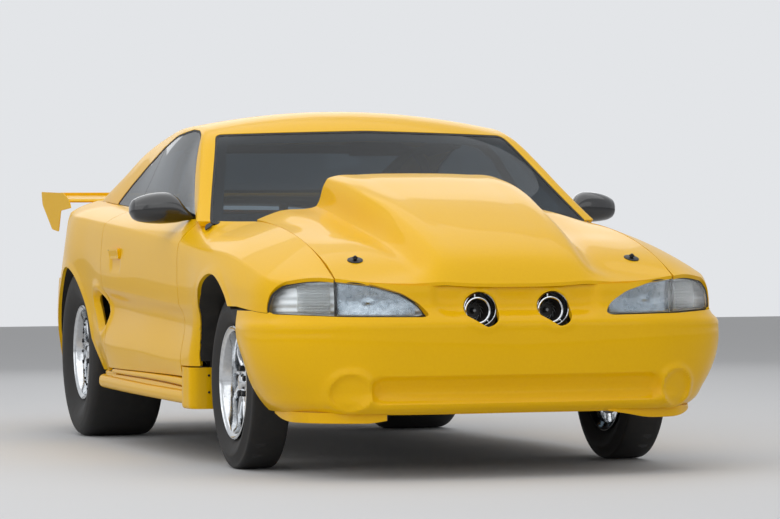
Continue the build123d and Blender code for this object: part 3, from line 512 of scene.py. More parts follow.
def unit(ways: Array) -> Array:
    """Directions of the length one."""
    return ways / np.maximum(np.linalg.norm(ways, axis=1, keepdims=True), 1e-9)


# Meshes


class Sheet:
    """Points as x, station and height, and faces, which can be cut, given a wall and made an object."""

    def __init__(self, points: Array, faces: Sequence[tuple[int, ...]]) -> None:
        """Keeps the points and the faces."""
        self.points, self.faces = np.asarray(points, float), list(faces)

    @classmethod
    def grid(cls, rows: Sequence, outwards: Way) -> "Sheet":
        """A sheet from rows of points.

        Args:
            rows: the rows, all as long.
            outwards: roughly where its outside faces.

        Returns:
            The sheet.
        """
        rows = np.asarray(rows, float)
        index = np.arange(rows[..., 0].size).reshape(rows.shape[:2])
        corners = np.stack([index[:-1, :-1], index[1:, :-1], index[1:, 1:], index[:-1, 1:]], axis=-1)
        sheet = cls(rows.reshape(-1, 3), [tuple(face) for face in corners.reshape(-1, 4).tolist()])
        return sheet.facing(np.dot(sheet.normals().sum(axis=0), outwards))

    @classmethod
    def sections(cls, half: Array, levels: Array, axis: int, outwards: Way, whole: bool = True) -> "Sheet":
        """A sheet through sections of the car's left half.

        Args:
            half: rows of points in the plane of each section, from the centre outwards.
            levels: the station or the height of each section.
            axis: 1 where the levels are stations, 2 where they are heights.
            outwards: roughly where its outside faces.
            whole: whether the right half is added.

        Returns:
            The sheet.
        """
        both = np.concatenate([half[:, :0:-1] * (-1, 1), half], axis=1) if whole else half
        columns = [both[..., 0], both[..., 1]]
        columns.insert(axis, np.broadcast_to(levels[:, None], both.shape[:2]))
        return cls.grid(np.stack(columns, axis=-1), outwards)

    @classmethod
    def loop(cls, rows: Sequence) -> "Sheet":
        """A closed body through rows of closed outlines, with flat ends.

        Args:
            rows: the outlines, all as long.

        Returns:
            The sheet, with its faces outwards.
        """
        rows = np.asarray(rows, float)
        down, wide = rows.shape[:2]
        faces = [(i * wide + k, i * wide + (k + 1) % wide, (i + 1) * wide + (k + 1) % wide, (i + 1) * wide + k)
                 for i in range(down - 1) for k in range(wide)]
        faces += [tuple(range(wide))[::-1], tuple(range((down - 1) * wide, down * wide))]
        sheet = cls(rows.reshape(-1, 3), faces)
        return sheet.facing(((sheet.points - sheet.points.mean(axis=0)) * sheet.normals()).sum())

    def facing(self, sign: float) -> "Sheet":
        """The sheet, turned inside out where the sign is negative."""
        return Sheet(self.points, [face[::-1] for face in self.faces]) if sign < 0 else self

    def normals(self) -> Array:
        """Where the surface faces.

        Returns:
            The unit normal at each point.
        """
        fans = np.array([(face[0], face[i], face[i + 1]) for face in self.faces for i in range(1, len(face) - 1)])
        a, b, c = (self.points[fans[:, i]] for i in range(3))
        total = np.zeros_like(self.points)
        for i in range(3):
            np.add.at(total, fans[:, i], np.cross(b - a, c - a))
        return unit(total)

    def moved(self, shift: Array | Way) -> "Sheet":
        """The sheet with its points moved, all alike or each by its own shift."""
        return Sheet(self.points + shift, self.faces)

    def raised(self, height: float) -> "Sheet":
        """The sheet with each point moved along its normal."""
        return self.moved(self.normals() * height)

    def cut(self, *keeps: Measure) -> "Sheet":
        """Keeps what measures above zero in every measure.

        Args:
            keeps: the measures.

        Returns:
            The part that is kept, with new edges along the cuts.
        """
        if not keeps:
            return self
        keep = keeps[0]
        state = (keep(self.points) > 0).tolist()
        base = len(self.points)
        crossings: dict[tuple[int, int], int] = {}
        faces = []
        for face in self.faces:
            states = [state[i] for i in face]
            if all(states):
                faces.append(face)
            elif any(states):
                ring = []
                for a, b in edges(face):
                    if state[a]:
                        ring.append(a)
                    if state[a] != state[b]:
                        ring.append(crossings.setdefault((a, b) if state[a] else (b, a), base + len(crossings)))
                faces.append(tuple(ring))
        points = self.points
        if crossings:
            kept, lost = (self.points[list(ends)] for ends in zip(*crossings))
            for _ in range(12):
                middle = (kept + lost) / 2
                good = (keep(middle) > 0)[:, None]
                kept, lost = np.where(good, middle, kept), np.where(good, lost, middle)
            points = np.vstack([points, kept])
        return Sheet(points, faces).cut(*keeps[1:])

    def walled(self, wall: float, way: Way | None = None) -> "Sheet":
        """The sheet as a closed shell.

        Args:
            wall: its thickness.
            way: where the inner side lies, or nothing for straight in from each point.

        Returns:
            The shell.
        """
        inwards = self.evened(-self.normals()) if way is None else np.array(way)[None]
        count = len(self.points)
        rims = {edge for face in self.faces for edge in edges(face)}
        faces = self.faces + [tuple(i + count for i in face[::-1]) for face in self.faces]
        faces += [(b, a, a + count, b + count) for a, b in rims if (b, a) not in rims]
        return Sheet(np.vstack([self.points, self.points + inwards * wall]), faces)

    def evened(self, ways: Array) -> Array:
        """Directions at the points, evened out along the edges.

        Args:
            ways: the direction at each point.

        Returns:
            The new directions.
        """
        ends = np.array([edge for face in self.faces for edge in edges(face)])
        for _ in range(3):
            total = ways.copy()
            np.add.at(total, ends[:, 0], ways[ends[:, 1]])
            np.add.at(total, ends[:, 1], ways[ends[:, 0]])
            ways = unit(total)
        return ways

    def mirrored(self) -> "Sheet":
        """The sheet on the other side of the car."""
        return Sheet(self.points * (-1, 1, 1), self.faces).facing(-1)

    def both_sides(self) -> "Sheet":
        """The sheet with its mirror image."""
        return merged([self, self.mirrored()])

    def made(self, name: str, finish: Finish, node: str = "", body: str = "chassis", smooth: float = CREASED) -> Piece:
        """Makes the object and fits it to its body.

        Args:
            name: its name.
            finish: its finish.
            node: the node of the frame that it stands for, if any.
            body: the body that it rides on, or nothing where a later step fits it.
            smooth: the angle in degrees up to which edges are shaded smooth.

        Returns:
            The object, at the origin.
        """
        used = sorted({i for face in self.faces for i in face})
        number = {old: new for new, old in enumerate(used)}
        mesh = bpy.data.meshes.new(name)
        mesh.from_pydata(((self.points[used] - (0, MIDDLE, 0)) / 1000).tolist(), [],
                         [tuple(number[i] for i in face) for face in self.faces])
        piece = bpy.data.objects.new(name, mesh)
        bpy.context.scene.collection.objects.link(piece)
        with editing(piece):
            bpy.ops.mesh.remove_doubles(threshold=2 * MERGE)
            bpy.ops.mesh.dissolve_degenerate(threshold=MERGE)
        mesh.validate()
        return dressed(piece, name, finish, node, body, smooth)


def merged(sheets: Sequence[Sheet]) -> Sheet:
    """Several sheets as one.

    Args:
        sheets: the sheets.

    Returns:
        The joint sheet.
    """
    bases = np.cumsum([0, *(len(sheet.points) for sheet in sheets)])
    return Sheet(np.vstack([sheet.points for sheet in sheets]),
                 [tuple(i + int(base) for i in face) for sheet, base in zip(sheets, bases) for face in sheet.faces])


def swept(points: Rows, radius: float, steps: int = 14, flat: float = 1.0, ease: float = 18.0) -> Sheet:
    """A closed tube, hose or strap along a path.

    Args:
        points: the path as x, station and height.
        radius: half the width across the path.
        steps: the number of sides.
        flat: the thickness against the width.
        ease: the spacing of the rings along the smoothed path, or 0 for straight runs.

    Returns:
        The sheet, with its faces outwards.
    """
    path = path_through(points, ease) if ease else np.array(points, float)
    ahead = unit(np.diff(path, axis=0))
    ways = unit(np.vstack([ahead[:1], ahead[1:] + ahead[:-1], ahead[-1:]]))
    side = np.cross(ways[0], (0, 0, 1) if abs(ways[0][2]) < 0.9 else (1, 0, 0))
    angles = np.linspace(0, 2 * pi, steps, endpoint=False)[:, None]
    rings = []
    for point, way in zip(path, ways):
        side = side - way * np.dot(side, way)
        side /= np.linalg.norm(side)
        rings.append(point + radius * (np.cos(angles) * side + flat * np.sin(angles) * np.cross(side, way)))
    return Sheet.loop(rings)


def placed(x: float, station: float, height: float) -> Vector:
    """A place on the car in metres, from millimetres."""
    return Vector((x, station - MIDDLE, height)) / 1000


def select(piece: Piece) -> None:
    """Selects one object alone and makes it active.

    Args:
        piece: the object.
    """
    bpy.ops.object.select_all(action="DESELECT")
    piece.select_set(True)
    bpy.context.view_layer.objects.active = piece


@contextmanager
def editing(piece: Piece) -> Iterator[None]:
    """Edit mode on one object, with all of it selected.

    Args:
        piece: the object.
    """
    select(piece)
    bpy.ops.object.mode_set(mode="EDIT")
    bpy.ops.mesh.select_all(action="SELECT")
    yield
    bpy.ops.object.mode_set(mode="OBJECT")


def dressed(piece: Piece, name: str, finish: Finish, node: str, body: str, smooth: float) -> Piece:
    """Names, shades and dresses a modelled piece, and fits it to its body.

    Args:
        piece: the object.
        name: its name.
        finish: its finish.
        node: the node of the frame that it stands for, or nothing.
        body: the body that it rides on, or nothing.
        smooth: the angle in degrees up to which edges are shaded smooth.

    Returns:
        The same object.
    """
    select(piece)
    bpy.ops.object.shade_smooth_by_angle(angle=radians(smooth))
    piece.name = piece.data.name = name
    dress(piece, finish)
    if body:
        fitted(piece, node, body)
    return piece


def fitted(piece: Piece, node: str, body: str) -> None:
    """Fits a piece to its body.

    Args:
        piece: the object.
        node: the node of the frame that it stands for, or nothing.
        body: the body that it rides on.
    """
    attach(piece, body)
    if node:
        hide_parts(node)
    log.info("%s on %s", piece.name, body)


def finished(pieces: Sequence[Piece], name: str, finish: Finish, node: str = "", body: str = "chassis",
             smooth: float = CREASED) -> Piece:
    """Joins modelled pieces, ends the work on them and fits them to their body.

    Args:
        pieces: the objects.
        name: the name of the whole.
        finish: its finish.
        node: the node of the frame that it stands for, if any.
        body: the body that it rides on, or nothing where a later step fits it.
        smooth: the angle in degrees up to which edges are shaded smooth.

    Returns:
        The object, with its place in its mesh.
    """
    piece = joined(pieces)
    bpy.ops.object.transform_apply(location=True, rotation=True, scale=True)
    with editing(piece):
        bpy.ops.mesh.remove_doubles(threshold=MERGE)
        bpy.ops.mesh.normals_make_consistent(inside=False)
    return dressed(piece, name, finish, node, body, smooth)


def turned(profile: Pairs, centre: Vector, axis: Vector, steps: int = 96) -> Piece:
    """A turned piece: a closed profile spun about an axis.

    Args:
        profile: distances along the axis and radii, in millimetres.
        centre: the axis' zero, in metres.
        axis: its unit direction.
        steps: the number of sides.

    Returns:
        The object, not yet finished.
    """
    side = axis.orthogonal().normalized()
    bpy.ops.object.select_all(action="DESELECT")
    bpy.ops.mesh.primitive_circle_add(vertices=len(profile), radius=0.1, location=(0, 0, 0))
    piece = bpy.context.active_object
    for vertex, (along, radius) in zip(piece.data.vertices, profile):
        vertex.co = centre + axis * (along / 1000) + side * (radius / 1000)
    with editing(piece):
        bpy.ops.mesh.select_mode(type="VERT")
        bpy.ops.mesh.select_all(action="SELECT")
        bpy.ops.mesh.spin(steps=steps, angle=2 * pi, use_auto_merge=True, center=centre, axis=axis)
        bpy.ops.mesh.select_all(action="SELECT")
        bpy.ops.mesh.remove_doubles(threshold=MERGE)
    return piece


def solid(profile: Pairs, centre: Vector, axis: Vector, steps: int = 96) -> Piece:
    """A turned piece without a hole: its profile goes on from both ends to the axis."""
    first, last = profile[0][0], profile[-1][0]
    return turned([(first, CORE), *profile, (last, CORE)], centre, axis, steps)


def block(low: Way, high: Way, bevel: float = 0.0, segments: int = 3, at: Matrix | None = None) -> Piece:
    """A block between two corners, with its edges bevelled.

    Args:
        low: its lower corner as x, station and height, or in its own frame.
        high: its upper corner.
        bevel: the width of the bevel.
        segments: the number of sides in the bevel.
        at: the place and turn of its own frame, if it has one.

    Returns:
        The object, not yet finished.
    """
    first, last = (placed(*corner) if at is None else Vector(corner) / 1000 for corner in (low, high))
    bpy.ops.object.select_all(action="DESELECT")
    bpy.ops.mesh.primitive_cube_add(size=1, location=(first + last) / 2, scale=last - first)
    piece = bpy.context.active_object
    bpy.ops.object.transform_apply(location=True, rotation=True, scale=True)
    if bevel:
        with editing(piece):
            bpy.ops.mesh.bevel(offset=bevel / 1000, segments=segments, affect="EDGES")
    if at is not None:
        piece.data.transform(at)
    return piece


def blocks(places: Sequence[float], rows: Rows) -> list[Piece]:
    """Blocks at each of several x, from rows of half width, front, rear, low and high end, and bevel."""
    return [block((x - half, front, low), (x + half, rear, high), bevel) for x in places
            for half, front, rear, low, high, bevel in rows]


def copy_of(piece: Piece, change: Matrix) -> Piece:
    """A copy with its own mesh.

    Args:
        piece: the object to copy.
        change: how the copy's mesh is moved, turned or mirrored.

    Returns:
        The copy.
    """
    copy = piece.copy()
    copy.data = piece.data.copy()
    bpy.context.scene.collection.objects.link(copy)
    copy.data.transform(change)
    if change.determinant() < 0:
        copy.data.flip_normals()
    return copy


def joined(pieces: Sequence[Piece]) -> Piece:
    """Joins objects into one.

    Args:
        pieces: the objects.

    Returns:
        The first of them, which holds them all.
    """
    select(pieces[0])
    for piece in pieces:
        piece.select_set(True)
    if len(pieces) > 1:
        bpy.ops.object.join()
    return pieces[0]


def around(piece: Piece, count: int, centre: Vector, axis: Vector) -> Piece:
    """Repeats a piece round an axis.

    Args:
        piece: the piece.
        count: how many there are in all.
        centre: a point on the axis.
        axis: its direction.

    Returns:
        All of them as one object.
    """
    to, back = Matrix.Translation(centre), Matrix.Translation(-centre)
    copies = [copy_of(piece, to @ Matrix.Rotation(2 * pi * i / count, 4, axis) @ back) for i in range(1, count)]
    return joined([piece, *copies])


def with_mirror(pieces: Sequence[Piece]) -> Piece:
    """Pieces and their mirror images as one object."""
    return joined([*pieces, *(copy_of(piece, MIRROR) for piece in pieces)])


# Body panels


@dataclass
class BodySides:
    """Fenders, doors and quarter panels: one surface down each side, cut at the door gaps and arches.

    The rows hold a station, then x and height of the top edge, the shoulder, the widest line, the door
    crease, the scallop, the lower crease and the sill.
    """

    rows: Rows = (
        (-790, 617, 683, 700, 672, 716, 640, 722, 600, 722, 540, 720, 400, 690, 230),
        (-640, 617, 745, 790, 680, 806, 640, 812, 600, 812, 540, 806, 400, 780, 230),
        (-400, 617, 815, 815, 727, 848, 660, 852, 600, 852, 540, 845, 400, 810, 230),
        (-150, 617, 860, 821, 770, 855, 700, 858, 600, 856, 540, 846, 400, 806, 230),
        (250, 615, 895, 836, 799, 853, 700, 848, 590, 838, 555, 832, 385, 820, 230),
        (370, 667, 897, 839, 808, 848, 706, 844, 590, 836, 556, 836, 381, 826, 254),
        (560, 762, 905, 845, 821, 852, 716, 846, 590, 829, 556, 842, 374, 830, 300),
        (1200, 745, 945, 856, 871, 866, 770, 860, 620, 836, 572, 861, 396, 838, 302),
        (1850, 722, 977, 860, 917, 876, 820, 874, 652, 838, 596, 868, 418, 846, 304),
        (2150, 712, 994, 858, 936, 878, 830, 868, 668, 856, 600, 848, 430, 796, 300),
        (2573, 694, 1018, 852, 963, 880, 850, 884, 690, 884, 600, 878, 440, 856, 308),
        (2960, 664, 1036, 790, 984, 810, 880, 836, 700, 845, 600, 846, 460, 824, 310),
        (3250, 662, 1018, 722, 990, 750, 880, 778, 700, 786, 600, 784, 470, 762, 320),
        (3480, 650, 998, 688, 980, 706, 880, 732, 700, 740, 600, 738, 470, 714, 330),
    )
    crease_radii: tuple[float, ...] = (0, 9, 0, 4, 0, 7, 0)
    step: float = 13.0
    wall: float = 14.0
    door_wall: float = 72.0
    front: float = -826.0
    rear: float = 3486.0
    door_front: float = 557.0
    door_rear: float = 1853.0
    gap: float = 5.0
    door_low: float = 319.0
    hood_edge: float = 617.0
    front_arch: tuple[float, float, float] = (0.0, 318.0, 386.0)
    rear_arch: tuple[float, float, float] = (2573.0, 344.0, 394.0)
    lip: float = 4.0
    scoop: Pairs = ((2050, 620), (1945, 621), (1868, 566), (1868, 516), (1926, 474), (1996, 500), (2090, 590))
    handle: Pairs = ((1496, 722), (1496, 790), (1668, 790), (1668, 722))

    def surface(self) -> Sheet:
        """The left side from nose to tail, with its arch lips and the scoop's surround raised.

        Returns:
            The sheet.
        """
        stations = np.arange(self.front, self.rear + 1, self.step)
        values = eased(self.rows, stations, 40).reshape(len(stations), 7, 2)
        table = np.array(self.rows)
        values[:, 0, 0] = np.interp(stations, table[:, 0], table[:, 1])
        curve = flow(creased(values, self.crease_radii), self.step)
        sheet = Sheet.sections(curve, stations, 1, LEFT, False)
        return sheet.moved(self.shift(sheet.points))

    def shift(self, points: Array) -> Array:
        """How far each point of the side is pushed out by the arch lips and the scoop's surround.

        Args:
            points: the points.

        Returns:
            The shift of each point.
        """
        out = np.zeros(len(points))
        for station, height, radius in (self.front_arch, self.rear_arch):
            edge = beyond(View.SIDE, (station, height), radius)(points)
            out += self.lip * ramp(22 - np.abs(edge), 9)
        scoop = self.scoop_hole(points)
        out += 9 * bump(scoop + 26, 20) - 16 * ramp(scoop + 10, 12)
        out -= 6 * ramp(inside(self.handle, View.SIDE, 20)(points), 8)
        behind = beyond(View.SIDE, self.front_arch[:2], self.front_arch[2])(points)
        depth = np.interp(points[:, 2], (400, 640), (34, 8)) * (1 - np.clip(behind / 56, 0, 1)) ** 2
        out -= depth * ramp(points[:, 1] - 220, 70)
        return np.column_stack([out, np.zeros((len(points), 2))])

    @property
    def scoop_hole(self) -> Measure:
        """What lies inside the side scoop's opening."""
        return inside(self.scoop, View.SIDE, 60)

    def arches(self) -> list[Measure]:
        """What lies outside both wheel arches."""
        return [beyond(View.SIDE, arch[:2], arch[2]) for arch in (self.front_arch, self.rear_arch)]

    def build(self, lamp: Measure, split: Measure, belt: Measure, deck_edge: Measure) -> None:
        """Makes the panels.

        Args:
            lamp: what lies outside the headlamp.
            split: what lies above the bumper.
            belt: what lies below the greenhouse.
            deck_edge: what lies outboard of the deck lid.
        """
        side, arches, half = self.surface(), self.arches(), self.gap / 2
        fender = side.cut(under(1, self.door_front - half), over(0, self.hood_edge), arches[0], lamp, split,
                          within(over(1, 0), over(2, 360), 1.0), belt)
        fender.walled(self.wall).both_sides().made("fender_panels", PAINT, "fenders")
        quarter = side.cut(over(1, self.door_rear + half), arches[1], outside(self.scoop_hole), belt, deck_edge,
                           either(under(1, 3251), over(2, 693)))
        quarter.walled(self.wall).both_sides().made("quarter_skins", PAINT, "quarter_panels")
        door = side.cut(over(1, self.door_front + half), under(1, self.door_rear - half), belt, over(2, self.door_low))
        for name, way in SIDES:
            sheet, body = door if way > 0 else door.mirrored(), f"door_{name}"
            sheet.walled(self.door_wall, (-way, 0, 0)).made(f"door_skin_{name}", PAINT, body, body)
            card = sheet.cut(over(1, self.door_front + 40), under(1, self.door_rear - 40), over(2, self.door_low + 40),
                             under(2, 890)).moved((-way * 74, 0, 0))
            card.walled(5.0, (-way, 0, 0)).made(f"door_card_{name}", DASH_VINYL, body=body)
        side.cut(self.scoop_hole).moved((-34, 0, 0)).walled(6.0).both_sides().made("side_scoop_ducts", BLACK_PLASTIC)
        self.build_flanges(side)

    def build_flanges(self, side: Sheet) -> None:
        """Makes the return flange inside each wheel arch.

        Args:
            side: the body side that they meet.
        """
        sheets = []
        for (station, height, radius), first, last in ((self.front_arch, -48, 82), (self.rear_arch, -86, 86)):
            rows = []
            for angle in np.radians(np.arange(first, last + 1, 3.0)):
                s, z = station + (radius + 2.5) * sin(angle), height + (radius + 2.5) * cos(angle)
                away = np.hypot(side.points[:, 1] - s - 5 * sin(angle), side.points[:, 2] - z - 5 * cos(angle))
                edge = side.points[away.argmin(), 0] - 7
                rows.append([(edge - (edge - 752) * t, s, z) for t in np.linspace(0, 1, 7)])
            sheets.append(Sheet.grid(rows, -UP).walled(4.0))
        merged(sheets).both_sides().made("arch_flanges", CHASSIS)


@dataclass
class Hood:
    """Hood with its tall scoop, open at the rear.

    The rows hold a station, the centre height, then x and height of the scoop's edge, its foot, the ridge
    of the bulge, and the gap to the fender.
    """

    rows: Rows = (
        (-905, 652, 240, 650, 300, 649, 352, 648, 612, 640), (-850, 732, 244, 722, 302, 694, 354, 676, 612, 655),
        (-787, 776, 249, 766, 312, 714, 364, 698, 611, 684), (-700, 818, 257, 807, 325, 746, 395, 740, 611, 725),
        (-500, 893, 276, 882, 345, 802, 452, 804, 614, 789), (-300, 957, 290, 944, 354, 842, 485, 839, 614, 835),
        (-100, 1006, 314, 992, 366, 882, 501, 877, 612, 866), (100, 1049, 325, 1034, 374, 922, 520, 914, 609, 887),
        (290, 1074, 336, 1060, 378, 950, 518, 936, 606, 903),
    )
    crease_radii: tuple[float, ...] = (0, 0, 20, 8, 14, 0)
    lead: Pairs = ((0, -899), (404, -862), (613, -786))
    step: float = 12.0
    wall: float = 12.0
    front: float = -920.0
    rear: float = 290.0
    pin: tuple[float, float, float] = (506.0, -669.0, 753.0)

    def lead_station(self, x: Array) -> Array:
        """Station of the hood's front edge at each x."""
        row = [(-x0, s) for x0, s in self.lead[:0:-1]] + list(self.lead)
        return eased([(a + 1e-3 * i, b) for i, (a, b) in enumerate(row)], x, 30)[:, 0]

    def section(self, stations: Array, step: float) -> Array:
        """The left half of the hood at some stations.

        Args:
            stations: the stations.
            step: the spacing of the points.

        Returns:
            Rows of points as x and height, from the centre outwards.
        """
        values = eased(self.rows, stations, 25)
        first = column(0, values[:, 0])[:, None]
        rest = values[:, 1:].reshape(len(stations), 4, 2)
        crown = first * (1, 1) + (rest[:, :1] - first) * ((0.62, 0.3),)
        points = np.concatenate([first, crown, rest], axis=1)
        return flow(creased(points, self.crease_radii), step)

    def height(self, x: float, station: float) -> float:
        """Height of the hood at a place."""
        curve = self.section(np.array([station]), 8.0)[0]
        return float(np.interp(abs(x), curve[:, 0], curve[:, 1]))

    def build(self) -> None:
        """Makes the hood skin and its two pins."""
        stations = np.arange(self.front, self.rear + 0.5, self.step)
        stations[-1] = self.rear
        whole = Sheet.sections(self.section(stations, self.step), stations, 1, UP)
        skin = whole.cut(lambda points: points[:, 1] - self.lead_station(points[:, 0]))
        skin.walled(self.wall, -UP).made("hood_skin", PAINT, "hood", "hood")
        self.build_pins()

    def build_pins(self) -> None:
        """Makes a scuff plate, a pin and a clip at each front corner."""
        x, station, _ = self.pin
        height = self.height(x, station)
        slope = (self.height(x + 20, station) - self.height(x - 20, station)) / 40
        rise = (self.height(x, station + 20) - self.height(x, station - 20)) / 40
        up = Vector((-slope, -rise, 1)).normalized()
        foot = placed(x, station, height)
        plate = solid([(0.5, 27), (2.2, 27), (3.2, 25)], foot, up, 32)
        pin = turned([(0.5, CORE), (0.5, 6), (14, 6), (17, 4), (18, CORE)], foot, up, 16)
        clip = turned([(8, 9), (10, 10.5), (12, 9), (10, 7.5)], foot, up, 20)
        finished([with_mirror([plate, pin, clip])], "hood_pins", DARK_STEEL, body="hood")


@dataclass
class Greenhouse:
    """Roof, pillars and glass: one surface over the cabin, cut at its openings.

    The rails hold a station, then x and height of the edge between the roof or screens and the sides. The
    spine holds a station and the height at the centre. The belt holds a station, then x and height of the
    lower edge.
    """

    spine: Pairs = ((250, 822), (298, 862), (420, 945), (600, 1051), (775, 1163), (890, 1240), (975, 1290),
                    (1075, 1330), (1220, 1352), (1400, 1359), (1640, 1352), (1900, 1325), (2110, 1286),
                    (2310, 1236), (2540, 1163), (2905, 1051), (3120, 985))
    rails: Rows = ((250, 848, 765), (426, 803, 872), (560, 768, 955), (705, 728, 1051), (872, 682, 1163),
                   (990, 648, 1236), (1090, 627, 1270), (1250, 620, 1288), (1400, 618, 1292), (1600, 612, 1288),
                   (1800, 602, 1276), (1990, 598, 1258), (2210, 615, 1215), (2430, 640, 1145), (2815, 668, 1040),
                   (3000, 672, 985), (3120, 672, 950))
    belt: Rows = ((250, 872, 700), (426, 812, 852), (560, 772, 895), (1200, 752, 925), (1850, 729, 957),
                  (2150, 719, 974), (2573, 702, 998), (2960, 672, 960), (3120, 672, 900))
    screen: Pairs = ((-752, 888), (752, 888), (592, 1250), (0, 1264), (-592, 1250))
    backlight: Pairs = ((-610, 1068), (610, 1068), (560, 1200), (500, 1250), (0, 1260), (-500, 1250), (-560, 1200))
    window: Pairs = ((636, 840), (636, 916), (1040, 1246), (1120, 1270), (1238, 1280), (1513, 1267), (1755, 1223),
                     (1978, 1163), (2146, 1094), (2330, 1008), (2330, 840))
    split: tuple[tuple[float, float], tuple[float, float]] = ((1700.0, 1233.0), (1862.0, 984.0))
    under_line: Pairs = ((250, 880), (425, 884), (426, 897), (560, 907), (1200, 947), (1850, 979), (2150, 996),
                         (2573, 1020), (2960, 1038), (3300, 1038))
    front: float = 262.0
    rear: float = 3118.0
    step: float = 14.0
    wall: float = 20.0
    sink: float = 3.0
    pane: float = 4.5
    seal: float = 9.0

    def surface(self) -> Sheet:
        """The whole greenhouse from side to side.

        Returns:
            The sheet.
        """
        stations = np.arange(self.front, self.rear, self.step)
        top, rail, belt = (eased(rows, stations, 45) for rows in (self.spine, self.rails, self.belt))
        shares = np.array([0, 0.3, 0.6, 0.82, 0.94])
        roof = np.stack([rail[:, :1] * shares, top - (top - rail[:, 1:]) * shares ** 2.0], axis=-1)
        bow = (rail + belt) / 2 + (5, 2)
        points = np.concatenate([roof, rail[:, None], bow[:, None], belt[:, None]], axis=1)
        return Sheet.sections(flow(creased(points, (0, 0, 0, 0, 0, 26, 0, 0)), self.step), stations, 1, UP)

    def line_over(self, points: Array) -> Array:
        """How far the line under the greenhouse lies above each point."""
        return np.interp(points[:, 1], *np.transpose(self.under_line)) - points[:, 2]

    def build(self) -> None:
        """Makes the roof skin, the glass and its seals."""
        whole = self.surface()
        screen = within(under(1, 1250), inside(self.screen, View.FRONT, 24))
        back = within(over(1, 1800), inside(self.backlight, View.FRONT, 45))
        window = within(both_ways(over(0, 500)), inside(self.window, View.SIDE, 30))
        skin = whole.cut(outside(self.line_over), outside(screen), outside(back), outside(window))
        skin.walled(self.wall).made("roof_skin", PAINT, "roof_and_pillars")
        sunk = whole.raised(-self.sink)
        self.glaze(sunk.cut(screen), "windscreen_glass", "windscreen", screen)
        band = sunk.cut(screen, outside(screen, 42), deep(screen, 4))
        band.raised(-self.pane - 0.3).walled(0.8).made("windscreen_border", BLACK_GLOSS)
        self.glaze(sunk.cut(back), "rear_glass", "rear_window", back)
        (top_s, top_z), (low_s, low_z) = self.split
        line = [(top_s - 3, top_z + 20), (low_s - 3, low_z - 40), (3200, 800), (3200, 1400), (top_s, 1400)]
        behind = inside(line, View.SIDE)
        side = sunk.cut(window, outside(self.line_over))
        self.glaze(side.cut(behind), "quarter_glass", "quarter_windows", window)
        door = side.cut(outside(behind), outside(behind, -4))
        for name, keep in (("left", over(0, 0)), ("right", under(0, 0))):
            self.glaze(door.cut(keep), f"door_pane_{name}", f"door_glass_{name}", window, f"door_{name}")

    def glaze(self, sheet: Sheet, name: str, node: str, opening: Measure, body: str = "chassis") -> None:
        """Makes a pane and the black seal round it.

        Args:
            sheet: the sheet in the opening.
            name: the pane's name.
            node: the pane that it replaces.
            opening: what lies inside the opening.
            body: the body that it rides on.
        """
        sheet.cut(deep(opening, self.seal * 0.6)).walled(self.pane).made(name, TINTED_GLASS, node, body)
        rim = sheet.cut(outside(opening, self.seal), deep(opening, 0.4)).raised(1.2)
        rim.walled(self.pane + 2.5).made(f"{name}_seal", RUBBER_SEAL, body=body)


@dataclass
class Tail:
    """Deck lid, panel under the rear window, rear bumper and lamps.

    Deck rows hold a station, the centre height, then x and height of the shoulder and the edge. Level rows
    hold a height, the station at the centre and at x 450, x and station of the corner, and x at the front.
    """

    deck: Rows = ((2960, 1064, 430, 1058, 657, 1035), (3250, 1046, 430, 1040, 654, 1018),
                  (3400, 1034, 424, 1029, 647, 1007), (3478, 1026, 420, 1020, 642, 998))
    tulip: Rows = ((2800, 1047, 430, 1041, 672, 1030), (2955, 1064, 430, 1058, 664, 1035))
    levels: Rows = ((330, 3600, 3590, 640, 3540, 760), (420, 3640, 3628, 684, 3556, 780),
                    (620, 3645, 3632, 694, 3556, 785), (700, 3600, 3588, 688, 3526, 782),
                    (850, 3556, 3546, 676, 3508, 752), (960, 3530, 3520, 664, 3492, 722),
                    (1015, 3496, 3488, 648, 3474, 700))
    front: float = 3254.0
    low: float = 330.0
    high: float = 1012.0
    step: float = 14.0
    wall: float = 20.0
    lamp: Pairs = ((300, 742), (300, 880), (620, 880), (640, 742))

    def top(self, rows: Rows, first: float, last: float) -> Sheet:
        """A panel across the car.

        Args:
            rows: its rows.
            first: the station of its front edge.
            last: the station of its rear edge.

        Returns:
            The sheet.
        """
        stations = np.linspace(first, last, max(3, round((last - first) / self.step)))
        values = eased(rows, stations)
        points = np.concatenate([column(0, values[:, 0])[:, None], values[:, 1:].reshape(-1, 2, 2)], axis=1)
        return Sheet.sections(flow(points, self.step), stations, 1, UP)

    def stern(self) -> Sheet:
        """The rear surface from side to side.

        Returns:
            The sheet.
        """
        heights = np.arange(self.low, self.high, self.step)
        values = eased(self.levels, heights, 12)
        front = column(self.front, values[:, 4])[:, ::-1]
        points = np.stack([column(0, values[:, 0]), column(450, values[:, 1]), values[:, 2:4],
                           (values[:, [2, 3]] + front) / 2 + (22, 0), front], axis=1)
        half = flow(creased(points, (0, 0, 50, 0, 0)), self.step)
        return Sheet.sections(half, heights, 2, REAR)

    @property
    def lamps(self) -> Measure:
        """What lies inside the openings of the tail lamps."""
        return both_ways(inside(self.lamp, View.FRONT, 26))

    def build(self) -> None:
        """Makes the deck lid, the fixed panel, the rear bumper and the lamps."""
        self.top(self.deck, 2964, 3478).walled(8.0, -UP).made("deck_lid_skin", PAINT, "deck_lid", "deck")
        self.top(self.tulip, 2800, 2956).walled(8.0, -UP).made("tulip_panel", PAINT)
        stern = self.stern()
        skin = stern.cut(either(under(2, 690), over(1, 3484)), outside(self.lamps))
        skin.walled(self.wall).made("rear_bumper_skin", PAINT, "rear_bumper")
        lens = stern.cut(deep(self.lamps, 3)).raised(1.0)
        lens.walled(18.0).made("tail_lamp_lenses", RED_LENS, "tail_lamps")


